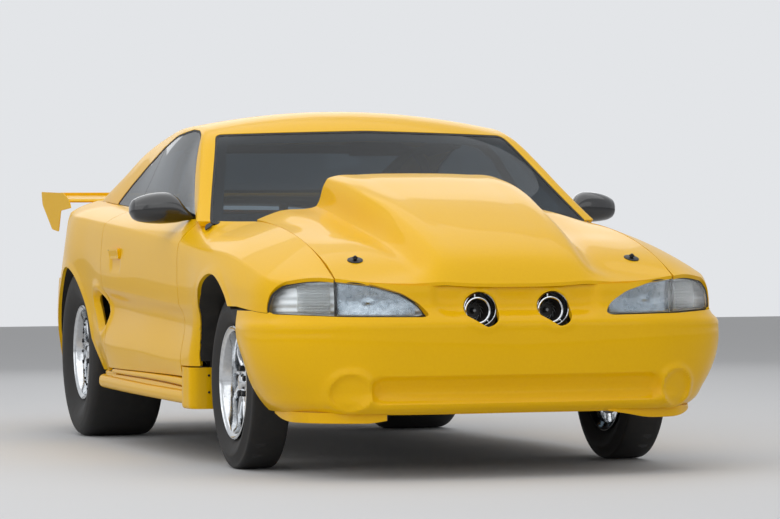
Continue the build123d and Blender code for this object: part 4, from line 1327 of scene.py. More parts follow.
LAMP_OUTLINE: Pairs = ((316, 560), (345, 596), (404, 632), (500, 662), (613, 675), (700, 673), (760, 660), (795, 630),
                       (806, 590), (806, 564), (600, 554), (335, 551))


@dataclass
class Nose:
    """Front bumper, with its recessed band, fog lamp blanks, and recess round the air inlets.

    The rows hold a height, the station at x 0, 300 and 560, x and station of the corner, x and station on
    the side, and x at the arch.
    """

    rows: Rows = (
        (224, -905, -896, -850, 660, -738, 728, -588, 738), (236, -925, -918, -872, 678, -748, 748, -590, 750),
        (300, -946, -938, -890, 722, -765, 796, -590, 796), (400, -956, -948, -902, 760, -775, 846, -592, 832),
        (500, -956, -949, -905, 768, -778, 858, -594, 858), (530, -954, -946, -902, 766, -776, 854, -593, 858),
        (546, -944, -934, -889, 754, -767, 838, -590, 856), (575, -915, -906, -868, 745, -752, 826, -585, 852),
        (652, -902, -890, -848, 730, -735, 820, -575, 850), (700, -894, -880, -836, 720, -724, 808, -568, 846),
    )
    end: float = -380.0
    low: float = 226.0
    high: float = 694.0
    step: float = 11.0
    wall: float = 24.0
    inlet: tuple[float, float, float] = (131.0, 575.0, 60.0)
    chord: float = 48.0
    band: Pairs = ((-520, 262), (-520, 348), (520, 348), (520, 262))
    fog: tuple[float, float, float] = (588.0, 297.0, 60.0)
    recess: Pairs = ((-286, 556), (-300, 720), (300, 720), (286, 556))
    corner: float = -660.0
    top_line: Pairs = ((0, 652), (404, 659), (470, 666), (505, 664), (700, 650), (800, 575), (900, 575))

    def surface(self) -> Sheet:
        """The whole bow from arch to arch, with its recesses pressed in.

        Returns:
            The sheet.
        """
        heights = np.arange(self.low, self.high, 8)
        values = eased(self.rows, heights, 4)
        points = np.stack([column(0, values[:, 0]), column(300, values[:, 1]), column(560, values[:, 2]),
                           values[:, 3:5], values[:, 5:7], column(self.end, values[:, 7])[:, ::-1]], axis=1)
        sheet = Sheet.sections(flow(creased(points, (0, 0, 0, 0, 0, 0)), self.step), heights, 2, -REAR)
        return sheet.moved(self.shift(sheet.points))

    def shift(self, points: Array) -> Array:
        """How far each point is pressed in or raised.

        Args:
            points: the points.

        Returns:
            The shift of each point.
        """
        band = inside(self.band, View.FRONT, 42, 8)(points)
        back = 20 * ramp(band - 4, 13) + 8 * ramp(band - 26, 9)
        ring = both_ways(beyond(View.FRONT, self.fog[:2], self.fog[2]))(points)
        back += -12 * bump(ring - 8, 13) * (1 - 0.6 * ramp(band, 30)) + 4 * ramp(-ring - 3, 4)
        back += 14 * ramp(inside(self.recess, View.FRONT, 60)(points), 22)
        inlet = both_ways(beyond(View.FRONT, self.inlet[:2], self.inlet[2]))(points)
        back -= 4 * bump(inlet - 7, 8)
        return np.column_stack([back * 0, np.where(points[:, 1] < -700, back, 0), back * 0])

    def top(self, points: Array) -> Array:
        """How far each point lies below the hood, the lamps and the fenders."""
        limit = np.interp(np.abs(points[:, 0]), *np.transpose(self.top_line))
        return np.minimum(limit - points[:, 2], self.split(points))

    def split(self, points: Array) -> Array:
        """How far each point lies below the line between the bumper and the fender."""
        line = np.interp(points[:, 1], (-900, -640, -370), (700, 566, 588)) + 700 * (points[:, 1] < self.corner)
        return line - points[:, 2]

    @property
    def outside_lamp(self) -> Measure:
        """What lies outside the headlamps."""
        return both_ways(outside(inside(LAMP_OUTLINE, View.FRONT, 16)))

    def hole(self, x: float) -> Measure:
        """What lies outside an inlet's hole, which is cut straight at its lower corner.

        Args:
            x: the hole's middle.

        Returns:
            The measure.
        """
        _, height, radius = self.inlet
        return either(beyond(View.FRONT, (x, height), radius), lambda points: -0.53 * (
            points[:, 0] - x) - 0.85 * (points[:, 2] - height) - self.chord)

    def build(self, arch: Measure) -> None:
        """Makes the bumper.

        Args:
            arch: what lies outside the front wheel arch.
        """
        holes = [self.hole(way * self.inlet[0]) for way in (-1, 1)]
        skin = self.surface().cut(arch, *holes, self.outside_lamp, self.top)
        skin.walled(self.wall).made("front_bumper_skin", PAINT, "front_bumper")


@dataclass
class Headlamps:
    """A clear lens over a reflector in two parts, with its housing, divider and flutes.

    The face holds x and station, seen from above.
    """

    face: Pairs = ((300, -892), (450, -852), (613, -792), (700, -738), (760, -690), (806, -640), (830, -610))
    ends: tuple[float, float] = (300.0, 826.0)
    low: float = 546.0
    high: float = 680.0
    step: float = 7.0
    lens: float = 3.5
    seal: float = 2.5
    depth: float = 42.0
    divider: float = 607.0
    flutes: tuple[float, float] = (624.0, 722.0)
    flute_pitch: float = 9.5

    def station(self, x: Array, height: Array) -> Array:
        """Station of the lamp's face at each x and height."""
        return eased(self.face, np.asarray(x, float), 14)[:, 0] + ((height - 590) / 85) ** 2 * 9

    def sheet(self, back: float, first: float, last: float, ripple: float = 0.0, pitch: float = 20.0) -> Sheet:
        """A sheet behind the face of the left lamp.

        Args:
            back: how far behind.
            first: the lowest x.
            last: the highest x.
            ripple: how deep its flutes are.
            pitch: how far apart they are.

        Returns:
            The sheet, not cut to the outline.
        """
        fine = self.step if ripple == 0 else pitch / 6
        across = np.arange(first, last + self.step, self.step)
        heights = np.arange(self.low, self.high, fine)
        x, z = np.meshgrid(across, heights, indexing="ij")
        station = self.station(x.ravel(), z.ravel()).reshape(x.shape) + back
        station += ripple * (0.5 - 0.5 * np.cos(2 * pi * (z - self.low) / pitch))
        return Sheet.grid(np.stack([x, station, z], axis=-1), (0, -1, 0))

    def build(self) -> None:
        """Makes every piece of both lamps."""
        shape = inside(LAMP_OUTLINE, View.FRONT, 16)
        ends = self.ends
        ring = self.sheet(1.5, *ends).cut(deep(shape, -3), outside(shape, self.seal))
        bowl = self.sheet(self.depth - 22, 350.0, self.divider - 6)
        for name, sheet, wall, finish in (
            ("headlamp_lenses", self.sheet(0, *ends).cut(deep(shape, 2)), self.lens, CLEAR_LENS),
            ("headlamp_seals", ring, 30.0, RUBBER_SEAL),
            ("headlamp_housings", self.sheet(8, *ends).cut(shape, outside(shape, 2.2)), self.depth, REFLECTOR),
            ("headlamp_dividers", self.sheet(4.5, self.divider - 1.4, self.divider + 1.4).cut(shape), 9.0,
             BLACK_PLASTIC),
            ("headlamp_reflectors", self.sheet(self.depth - 2, *ends, 2.2, 26.0).cut(shape), 4.0, REFLECTOR),
            # The bowls carry a painted reflection: blue-grey patches in their colour
            ("headlamp_bowls", bowl.moved(self.bowl(bowl.points)).cut(deep(shape, 7)), 3.0, PAINTED_REFLECTION_BOWL),
            ("side_lamp_flutes", self.sheet(12.0, *self.flutes, 5.0, self.flute_pitch).cut(deep(shape, 10)), 3.0,
             FLUTED_LENS),
        ):
            node = "headlamps" if finish is CLEAR_LENS else ""
            sheet.walled(wall, REAR).both_sides().made(name, finish, node)

    def bowl(self, points: Array) -> Array:
        """How far each point of the main reflector is pressed back into a shallow bowl.

        Args:
            points: the points.

        Returns:
            The shift of each point.
        """
        out = np.hypot((points[:, 0] - 500) / 95, (points[:, 2] - 604) / 42)
        back = 18 * np.exp(-out ** 2) - 7 * bump(out, 0.18)
        return np.column_stack([np.zeros(len(points)), back, np.zeros(len(points))])


@dataclass
class Inlets:
    """Two turbocharger inlets seen through round holes in the bumper."""

    x: float = 131.0
    height: float = 575.0
    face: float = -896.0
    radius: float = 46.0
    casing: float = 60.0
    shift: tuple[float, float] = (-8.0, -4.5)
    webs: Sequence[float] = (95.0, 195.0, 320.0)

    def build(self) -> None:
        """Makes the bright lip, the webs, the bore painted dark as shade, and the compressor nut of both inlets."""
        lips, bores, wheels = [], [], []
        r, outer = self.radius, self.casing - 2
        for way in (-1, 1):
            hole = placed(way * self.x, self.face, self.height)
            centre = placed(way * self.x + self.shift[0], self.face, self.height + self.shift[1])
            lips.append(turned([(8, r - 7), (3, r - 6), (1, r - 3), (3, r), (12, r + 1), (60, r + 1), (60, r - 7)],
                               centre, REAR, 72))
            lips.append(turned([(2, outer), (0, outer - 1.5), (2, outer - 3), (56, outer - 4), (56, outer)], hole,
                               REAR, 72))
            for angle in self.webs:
                place = Matrix.Translation(centre) @ Matrix.Rotation(radians(-angle), 4, "Y")
                lips.append(block((r - 1, 20, -2.6), (outer - 2, 40, 2.6), 1.0, at=place))
            # The bore and the disc that closes it behind are painted near black: painted shade of the deep inlet
            bores.append(turned([(10, r - 7.5), (24, r - 10), (56, r - 16), (58, CORE), (66, CORE), (66, outer + 1),
                                 (58, outer + 1), (58, r - 5.5)], centre, REAR, 72))
            wheels += self.wheel(centre)
        finished(lips, "inlet_lips", POLISHED, "turbo_inlets")
        finished(bores, "inlet_bores", BORE_PAINTED_SHADE)
        finished(wheels, "compressor_wheels", CAST)

    def wheel(self, centre: Vector) -> list[Piece]:
        """Makes one compressor wheel.

        Args:
            centre: the inlet's middle.

        Returns:
            A nut and twelve blades, not yet finished.
        """
        nut = solid([(36, 5), (38, 7), (44, 8), (57.5, 11)], centre, REAR, 24)
        blade = block((5, 46, -0.8), (self.radius - 13, 56, 0.8), 0.3, 1,
                      Matrix.Translation(centre) @ Matrix.Rotation(radians(28), 4, "X"))
        return [nut, around(blade, 12, centre, REAR)]


# Wheels


@dataclass(frozen=True)
class Wheel:
    """One wheel of the left side: tyre, rim, hub, nuts and brake disc, all turned about the axle.

    The sidewall and the rim hold distances outwards from the wheel's middle, and radii.
    """

    place: str
    station: float
    radius: float
    width: float
    rim_width: float
    outer_x: float
    spokes: int
    spoke: Rows
    dish: float
    bolts: int
    grooves: tuple[float, ...] = ()
    steps: int = 128
    bead: float = 205.0

    @property
    def middle(self) -> float:
        """The wheel's middle, as x."""
        return self.outer_x - self.width / 2

    @property
    def centre(self) -> Vector:
        """The axle at the wheel's middle, in metres."""
        return placed(self.middle, self.station, self.radius)

    def tyre_profile(self) -> list[tuple[float, float]]:
        """The closed section of the tyre.

        Returns:
            Its points.
        """
        top, half, seat, bead = self.radius, self.width / 2, self.rim_width / 2 - 11, self.bead
        middle = (top + bead) / 2
        side = [(seat, bead), (seat + 5, bead + 8), (half - 7, middle - 20), (half, middle + 8), (half - 2.5, top - 38),
                (half - 10, top - 18), (half * 0.84, top - 5), (half * 0.74, top - 1.5)]
        smooth = path_through(side, 3.5)
        smooth[:, 0] += 1.0 * bump(smooth[:, 1] - bead - 17, 2.6) + 0.8 * bump(smooth[:, 1] - top + 45, 2.6)
        tread = [(half * 0.55, top - 0.5)]
        for groove in sorted(self.grooves, reverse=True):
            tread += [(groove + 3.5, top - 0.3), (groove + 2.5, top - 4.5), (groove - 2.5, top - 4.5),
                      (groove - 3.5, top - 0.3)]
        outer = [tuple(point) for point in smooth.tolist()] + tread + [(0, top)]
        inner = [(seat - 5, bead - 8), (seat - 18, bead + 6)]
        return [*outer, *[(-a, r) for a, r in outer[-2::-1]], *[(-a, r) for a, r in inner], *inner[::-1]]

    def rim_profile(self) -> list[tuple[float, float]]:
        """The closed section of the rim, from its outer lip to its inner one.

        Returns:
            Its points.
        """
        half, dish = self.rim_width / 2, self.dish
        visible = [(half + 1, 205.5), (half + 2.5, 203), (half + 2.2, 199.5), (half - 1, 197), (half - 4, 193),
                   (half - 6, 186), (half - 12, 183.5), (dish + 6, 180), (dish - 4, 177), (-half + 26, 172),
                   (-half + 12, 178), (-half + 4, 192), (-half - 1, 198), (-half - 2, 203), (-half - 1, 205.5)]
        hidden = [(-half + 3, 203), (-half + 6, 193), (-half + 20, 184), (-half + 34, 178), (dish, 184),
                  (half - 16, 189), (half - 6, 195), (half - 3, 203)]
        return visible + hidden

    def build(self) -> list[Piece]:
        """Makes the wheel's pieces for the left side.

        Returns:
            Tyre, rim, nuts and brake disc.
        """
        place, centre = self.place, self.centre
        tread = turned(self.tyre_profile(), centre, LEFT, self.steps)
        tyre = finished([tread], f"tyre_{place}", TYRE_RUBBER, "", "", 40)
        hub = self.dish
        barrel = turned(self.rim_profile(), centre, LEFT, self.steps)
        core = solid([(hub + 14, 20), (hub + 10, 28), (hub - 1, 32), (hub - 4, 66), (hub - 9, 73),
                       (hub - 27, 74), (hub - 27, 36), (hub - 4.5, 36)], centre, LEFT, 64)
        spokes = around(self.one_spoke(), self.spokes, centre, LEFT)
        rim = finished([barrel, core, spokes], f"rim_{place}", POLISHED, "", "")
        nut = solid([(hub - 4, 11), (hub + 8, 11), (hub + 12, 8)], centre + UP * 0.05, LEFT, 6)
        nuts = [around(nut, 5, centre, LEFT)]
        if self.bolts:
            bolt = solid([(hub - 2, 5.5), (hub + 3.5, 5.5), (hub + 5, 4)], centre + UP * 0.1665, LEFT, 12)
            nuts.append(around(bolt, self.bolts, centre, LEFT))
        studs = finished(nuts, f"wheel_nuts_{place}", DARK_STEEL, "", "", 25)
        disc = turned([(-52, 62), (-52, 140), (-50, 142), (-47, 142), (-46, 140), (-46, 120), (-43, 120), (-43, 140),
                       (-42, 142), (-39, 142), (-37, 140), (-37, 80), (hub - 31, 76), (hub - 28, 73), (hub - 28, 40),
                       (hub - 34, 40), (hub - 36, 62)], centre, LEFT, 96)
        return [tyre, rim, studs, finished([disc], f"brake_disc_{place}", DISC_STEEL, "", "")]

    def one_spoke(self) -> Piece:
        """Makes one spoke, from hub to barrel.

        Returns:
            The object, not yet finished.
        """
        rows = []
        radii = np.linspace(self.spoke[0][0], self.spoke[-1][0], 13)
        for radius, (along, aside, wide, thick) in zip(radii, eased(self.spoke, radii, 4)):
            w, d = wide / 2, thick / 2
            ring = [(-w, -d), (w, -d), (w, d * 0.2), (w * 0.55, d * 0.85), (0, d), (-w * 0.55, d * 0.85), (-w, d * 0.2)]
            rows.append([(self.middle + along + y, self.station + aside + x, self.radius + radius) for x, y in ring])
        return Sheet.loop(rows).made("spoke", POLISHED, "", "")


@dataclass
class Wheels:
    """All four wheels, with calipers at the front."""

    front: Wheel = Wheel(
        "front", 0.0, 311.0, 160.0, 130.0, 790.0, 10,
        ((60, 18, -9, 20, 20), (95, 22, -3, 15, 17), (135, 22, 5, 13, 15), (180, 12, 2, 17, 18)), 30.0, 0,
        (-26.0, 26.0))
    rear: Wheel = Wheel(
        "rear", WHEELBASE, 365.0, 325.0, 265.0, 846.0, 10,
        ((60, 86, -8, 26, 22), (95, 92, -2, 20, 18), (135, 92, 4, 18, 16), (182, 84, 2, 26, 18)), 98.0, 24,
        (-60.0, 60.0))

    def build(self) -> None:
        """Makes the left wheels, copies them to the right, and adds the front calipers."""
        for wheel in (self.front, self.rear):
            for piece in wheel.build():
                kind, other = piece.name, copy_of(piece, MIRROR)
                for (side, _), part in zip(SIDES, (piece, other)):
                    part.name = part.data.name = f"{kind}_{side}_skin"
                    node = f"{kind}_{side}" if kind.startswith(("tyre", "rim")) else ""
                    fitted(part, node, f"wheel_{wheel.place}_{side}")
        x, radius = self.front.middle, self.front.radius
        parts = [block((x + low, s, radius - 62 + inset), (x + high, e, radius + 62 - inset), 4)
                 for low, s, high, e, inset in ((-66, 88, -56, 140, 0), (-35, 88, -24, 138, 4),
                                                (-60, 144.5, -28, 156, 14))]
        parts += [block((x - 62, 130, radius + z - 16), (x - 27, 150, radius + z + 16), 3) for z in (-38, 38)]
        parts.append(block((x - 92, 40, radius - 20), (x - 62, 104, radius + 20), 4))
        left = finished(parts, "brake_caliper_left", CAST, body="knuckle_left")
        right = copy_of(left, MIRROR)
        right.name = "brake_caliper_right"
        fitted(right, "", "knuckle_right")


# Trim on the body


@dataclass
class Skirts:
    """Side skirts: a board with a slot under a thin rail, a round rail, and a riser behind the front wheel.

    The rows hold a station, outer x, then the heights of the top, the slot's edges, the fold and the bottom.
    """

    rows: Rows = (
        (380, 834, 312, 279, 272, 266, 214), (470, 838, 312, 281, 274, 267, 214), (600, 842, 313, 286, 279, 269, 215),
        (1000, 850, 315, 294, 288, 272, 219), (1600, 853, 316, 297, 292, 280, 224),
        (2075, 846, 317, 299, 294, 286, 229),
    )
    first: float = 470.0
    rail_end: float = 2068.0
    board_end: float = 1800.0
    back: float = 770.0
    riser: Rows = ((387, 752), (388, 772), (391, 792), (398, 818), (413, 836), (456, 843), (510, 845), (536, 840),
                   (546, 812))
    riser_levels: Rows = ((200, 0.93), (204, 0.975), (214, 1.0), (290, 0.994), (355, 0.985))

    def build(self) -> None:
        """Makes the boards, the rails and the risers."""
        stations = np.arange(self.first, self.board_end, 24.0)
        boards = []
        for station, (x, top, high, low, fold, _) in zip(stations, eased(self.rows, stations, 20)):
            near = max(0.0, 1 - (self.board_end - station) / 60)
            top = top - (top - high - 6) * near ** 2
            ring = [(self.back, top), (x - 6, top), (x - 1.5, top - 2), (x, top - 6), (x, high + 4), (x - 2, high + 1),
                    (x - 24, high), (x - 24, low), (x - 9, low - 1), (x - 7, low - 4), (x - 5, fold),
                    (x - 16, fold - 8), (self.back, fold - 10)]
            boards.append([(px, station, pz) for px, pz in ring])
        board = merged([Sheet.loop(boards), self.plain_tail()])
        board.both_sides().made("skirt_boards", PAINT)
        stations = np.concatenate([np.arange(self.first, self.rail_end - 30, 30.0),
                                   self.rail_end - 26 * (1 - np.sin(np.linspace(0, pi / 2, 9)))])
        angles = np.linspace(0, 2 * pi, 20, endpoint=False)
        shape = [(np.sign(cos(a)) * abs(cos(a)) ** 0.8, np.sign(sin(a)) * abs(sin(a)) ** 0.8) for a in angles]
        rails = []
        for station, (x, _, _, _, fold, low) in zip(stations, eased(self.rows, stations, 20)):
            left = max(0.0, 1 - (self.rail_end - station) / 26)
            share = max((1 - left ** 2) ** 0.5, 0.05)
            high, thick = (fold - low) / 2 * share, 27 * share
            rails.append([(x - 22 + a * thick, station, (fold + low) / 2 + b * high) for a, b in shape])
        Sheet.loop(rails).both_sides().made("skirt_rails", PAINT, "side_skirts", smooth=ROUND)
        self.build_risers()

    def plain_tail(self) -> Sheet:
        """The board behind the end of its thin rail.

        Returns:
            The sheet of the left side.
        """
        stations = np.arange(self.board_end - 80, self.rail_end + 1, 22.0)
        rings = []
        for station, (x, _, high, _, fold, _) in zip(stations, eased(self.rows, stations, 20)):
            inset = 6 + 26 * max(0.0, (station - 1900) / 170) ** 2
            rings.append([(px, station, pz) for px, pz in (
                (self.back, high + 3), (x - inset - 4, high + 3), (x - inset, high - 2), (x - inset - 1, fold),
                (x - inset - 14, fold - 8), (self.back, fold - 10))])
        return Sheet.loop(rings)

    def build_risers(self) -> None:
        """Makes the risers, with two small bolts in the front face of each."""
        outline = path_through(self.riser, 9)
        levels = np.array(self.riser_levels)
        heights = np.array([200, 202, 205, 210, 216, 240, 280, 320, 352, 354.5])
        shares = np.interp(heights, levels[:, 0], levels[:, 1])
        rows = [[(728, 546, z), (728, 387, z), *[(728 + (x - 728) * share, station, z) for station, x in outline]]
                for z, share in zip(heights, shares)]
        Sheet.loop(rows).both_sides().made("skirt_risers", PAINT, smooth=ROUND)
        bolts = [solid([(0, 4.5), (-2.5, 4.5), (-3.5, 3)], placed(772, 388, height), REAR, 16) for height in (325, 262)]
        finished([with_mirror(bolts)], "skirt_bolts", DARK_STEEL)


@dataclass
class Wing:
    """Rear wing: blade, toed-out end plates and two stands.

    The plate and the blade hold a station and a height.
    """

    plate: Pairs = ((3378, 1012), (3401, 1051), (3477, 1084), (3747, 1096), (3735, 1036), (3614, 917), (3535, 905),
                    (3505, 1002))
    upper: Rows = ((3402, 1046), (3424, 1056), (3520, 1064), (3620, 1072), (3725, 1080))
    lower: Rows = ((3404, 1040), (3424, 1038), (3520, 1046), (3620, 1056), (3725, 1070))
    front_x: float = 704.0
    rear_x: float = 772.0
    wall: float = 4.0

    def x(self, station: float) -> float:
        """Inner face of the end plate at a station."""
        return self.front_x + (self.rear_x - self.front_x) * (station - 3378) / (3747 - 3378)

    def build(self) -> None:
        """Makes the plates, the blade, its trailing lip and its stands."""
        outline = rounded(self.plate, 9, 4)
        rows = [[(self.x(s) + off, s, z) for s, z in self.scaled(outline, grow)]
                for off, grow in ((0.0, -0.8), (0.6, 0.0), (self.wall - 0.6, 0.0), (self.wall, -0.8))]
        Sheet.loop(rows).both_sides().made("wing_end_plates", PAINT, body="deck")
        section = rounded([*self.upper, *self.lower[::-1]], 5, 3)
        blade = Sheet.loop([[(t * (self.x(s) + 0.6), s, z) for s, z in section] for t in np.linspace(-1, 1, 9)])
        blade.made("wing_blade", PAINT, "rear_wing", "deck", 40)
        finished([block((-690, 3718, 1076), (690, 3724, 1092), 1.5)], "wing_trailing_lip", PAINT, body="deck")
        stands = blocks((-380, 380), ((4, 3404, 3476, 1020, 1049, 1.5), (24, 3396, 3474, 1019, 1024, 1.5)))
        finished(stands, "wing_stands", BLACK_GLOSS, body="deck")

    def scaled(self, outline: Pairs, grow: float) -> list[tuple[float, float]]:
        """An outline drawn in or out by a small distance.

        Args:
            outline: its points.
            grow: how far it is drawn out.

        Returns:
            The new points.
        """
        points = np.array(outline)
        away = points - points.mean(axis=0)
        length = np.linalg.norm(away, axis=1, keepdims=True)
        return [tuple(point) for point in (points + away * grow / length).tolist()]


@dataclass
class Mirrors:
    """Door mirrors: a rounded shell with a faired foot, a bezel and a glass that faces the rear.

    The rows hold x, station and height of the middle, half length fore and aft, and half height.
    """

    rows: Rows = (
        (732, 716, 918, 34, 10), (752, 718, 922, 36, 13), (772, 722, 928, 40, 20), (788, 730, 937, 46, 32),
        (806, 738, 948, 52, 47), (832, 744, 955, 56, 57), (866, 749, 956, 58, 60), (900, 754, 955, 57, 58),
        (935, 760, 953, 54, 52), (962, 766, 951, 48, 43), (978, 771, 951, 38, 31), (985.2, 775, 951, 20, 15),
    )

    def build(self) -> None:
        """Makes both mirrors."""
        spots = np.concatenate([np.linspace(732, 960, 30), 985.2 - 25.2 * np.cos(np.linspace(0.1, pi / 2, 9))])
        angles = np.linspace(0, 2 * pi, 40, endpoint=False)
        along = np.where(np.cos(angles) > 0, np.minimum(np.cos(angles), 0.72) / 0.72 * 0.55, np.cos(angles))
        upwards = np.sign(np.sin(angles)) * np.abs(np.sin(angles)) ** 0.9
        rings = []
        for x, (station, height, long, high) in zip(spots, eased(self.rows, spots, 3)):
            long, high = max(long, 1.0), max(high, 1.0)
            rings.append(column(x, np.column_stack([station + along * long, height + upwards * high])))
        shell, bezel, glass = Sheet.loop(rings), self.disc(0.95, 0.8, 3.2), self.disc(0.82, 3.0, 2.5)
        for side, way in SIDES:
            for sheet, part, finish in ((shell, "shell", BLACK_GLOSS), (bezel, "bezel", BLACK_PLASTIC),
                                        (glass, "glass", SILVERED)):
                (sheet if way > 0 else sheet.mirrored()).made(
                    f"mirror_{part}_{side}", finish, f"mirror_{side}" if sheet is shell else "", f"door_{side}", 50)

    def disc(self, share: float, proud: float, thick: float) -> Sheet:
        """A flat plate in the mirror's rear face.

        Args:
            share: its size against the shell's.
            proud: how far its face stands out.
            thick: its thickness.

        Returns:
            The plate of the left side.
        """
        spots = np.linspace(812, 958, 14)
        rows = [[(888 + (x - 888) * share, station + 0.55 * long + proud, height + t * high * share * 0.86)
                 for t in np.linspace(-1, 1, 9)]
                for x, (station, height, long, high) in zip(spots, eased(self.rows, spots, 3))]
        return Sheet.grid(rows, REAR).walled(thick)


# Small pieces on the body


@dataclass
class AirDam:
    """Two short lips under the corners of the bumper.

    The paths hold x and station along the right and the left lip, and the depth below the bumper.
    """

    right: Rows = ((-457, -872, 0.7), (-520, -856, 1.0), (-590, -826, 1.0), (-650, -782, 1.0), (-694, -722, 1.0),
                   (-724, -640, 1.0), (-735, -560, 0.8), (-738, -450, 0.2))
    left: Rows = ((327, -900, 0.1), (400, -888, 0.45), (480, -869, 0.9), (560, -838, 1.0), (620, -806, 0.95),
                  (672, -752, 0.6), (706, -690, 0.3), (728, -600, 0.15))
    top: float = 230.0
    low: float = 193.0

    def build(self) -> None:
        """Makes both lips and the plain strip between them."""
        sheets = []
        for path in (self.right, self.left):
            rings = []
            for x, station, share in path_through(path, 12):
                low = self.top - 6 - (self.top - 6 - self.low) * min(share, 1.0)
                inwards = np.array([-x * 0.55, 900 * 0.75]) / np.hypot(x * 0.55, 900 * 0.75)
                rings.append([(x + inwards[0] * d, station + inwards[1] * d, z) for d, z in (
                    (0, self.top), (-1.5, low + 3), (0, low + 0.8), (3, low), (6, low + 1.5), (7, self.top))])
            sheets.append(Sheet.loop(rings))
        strip = ((-640, -700, 227), (-430, -842, 227), (0, -868, 227), (430, -842, 227), (640, -700, 227))
        merged([*sheets, swept(strip, 7, 10)]).made("corner_air_lips", PAINT, "air_dam")


@dataclass
class DoorHandles:
    """Flap handles with their finger recess and lock."""

    flap: Pairs = ((1500, 766), (1500, 810), (1660, 808), (1660, 768))
    lock: tuple[float, float] = (1718.0, 796.0)

    def build(self, sides: BodySides) -> None:
        """Makes a flap and a lock for each door.

        Args:
            sides: the body side that they follow.
        """
        flap = sides.surface().cut(inside(self.flap, View.SIDE, 10)).moved((12, 0, 0)).walled(12.0, -LEFT)
        for side, way in SIDES:
            body = f"door_{side}"
            (flap if way > 0 else flap.mirrored()).made(f"door_handle_{side}", PAINT, body=body)
            face = solid([(-3, 11), (1.5, 11), (2.5, 9), (2.5, 3), (1.2, 2)],
                          placed(way * 873, *self.lock), LEFT * way, 28)
            finished([face], f"door_lock_{side}", BLACK_PLASTIC, body=body)


@dataclass
class Cowl:
    """Black cowl under the windscreen, wipers, and the trim at the foot of each pillar."""

    foot: Pairs = ((782, 862), (740, 884), (758, 897))

    def build(self, house: Greenhouse) -> None:
        """Makes the cowl, two wipers and two corner trims.

        Args:
            house: the greenhouse that the trims lie on.
        """
        rows = []
        for x in np.linspace(-735, 735, 41):
            curve = 1 - (abs(x) / 735) ** 2.2
            front, rear, top = 306 - 4 * curve, 436 - 62 * curve, 852 + 6 * curve
            rows.append([(x, front, top - 10), (x, front, top), (x, (front + rear) / 2, top + 3), (x, rear, top + 8),
                         (x, rear, top - 8)])
        Sheet.loop(rows).made("cowl_grille", BLACK_PLASTIC, "cowl_panel")
        slats = [block((x - 9, 322, 853), (x + 9, 352, 863), 2, 1) for x in np.linspace(-480, 480, 33)]
        finished(slats, "cowl_slats", BLACK_GLOSS)
        arms, posts = [], []
        for foot, tip in ((-600, -120), (70, 520)):
            middle = (foot + tip) / 2
            arms.append(swept(((foot, 392, 872), (foot + 60, 400, 884), (middle, 402, 892), (tip, 418, 914)), 5, 10,
                              0.7))
            arms.append(swept(((foot + 120, 404, 893), (middle + 60, 404, 897), (tip + 60, 422, 916)), 3.5, 8, 1.4))
            posts.append(turned([(0, CORE), (0, 15), (14, 13), (20, 9), (22, CORE)], placed(foot, 388, 858), UP, 28))
        finished(posts, "wiper_pivots", BLACK_PLASTIC)
        merged(arms).made("wiper_arms", BLACK_PLASTIC)
        patch = house.surface().cut(within(under(1, 700), both_ways(inside(self.foot, View.FRONT))))
        patch.raised(3.5).walled(6.0).made("pillar_foot_trims", BLACK_PLASTIC)


# Cabin


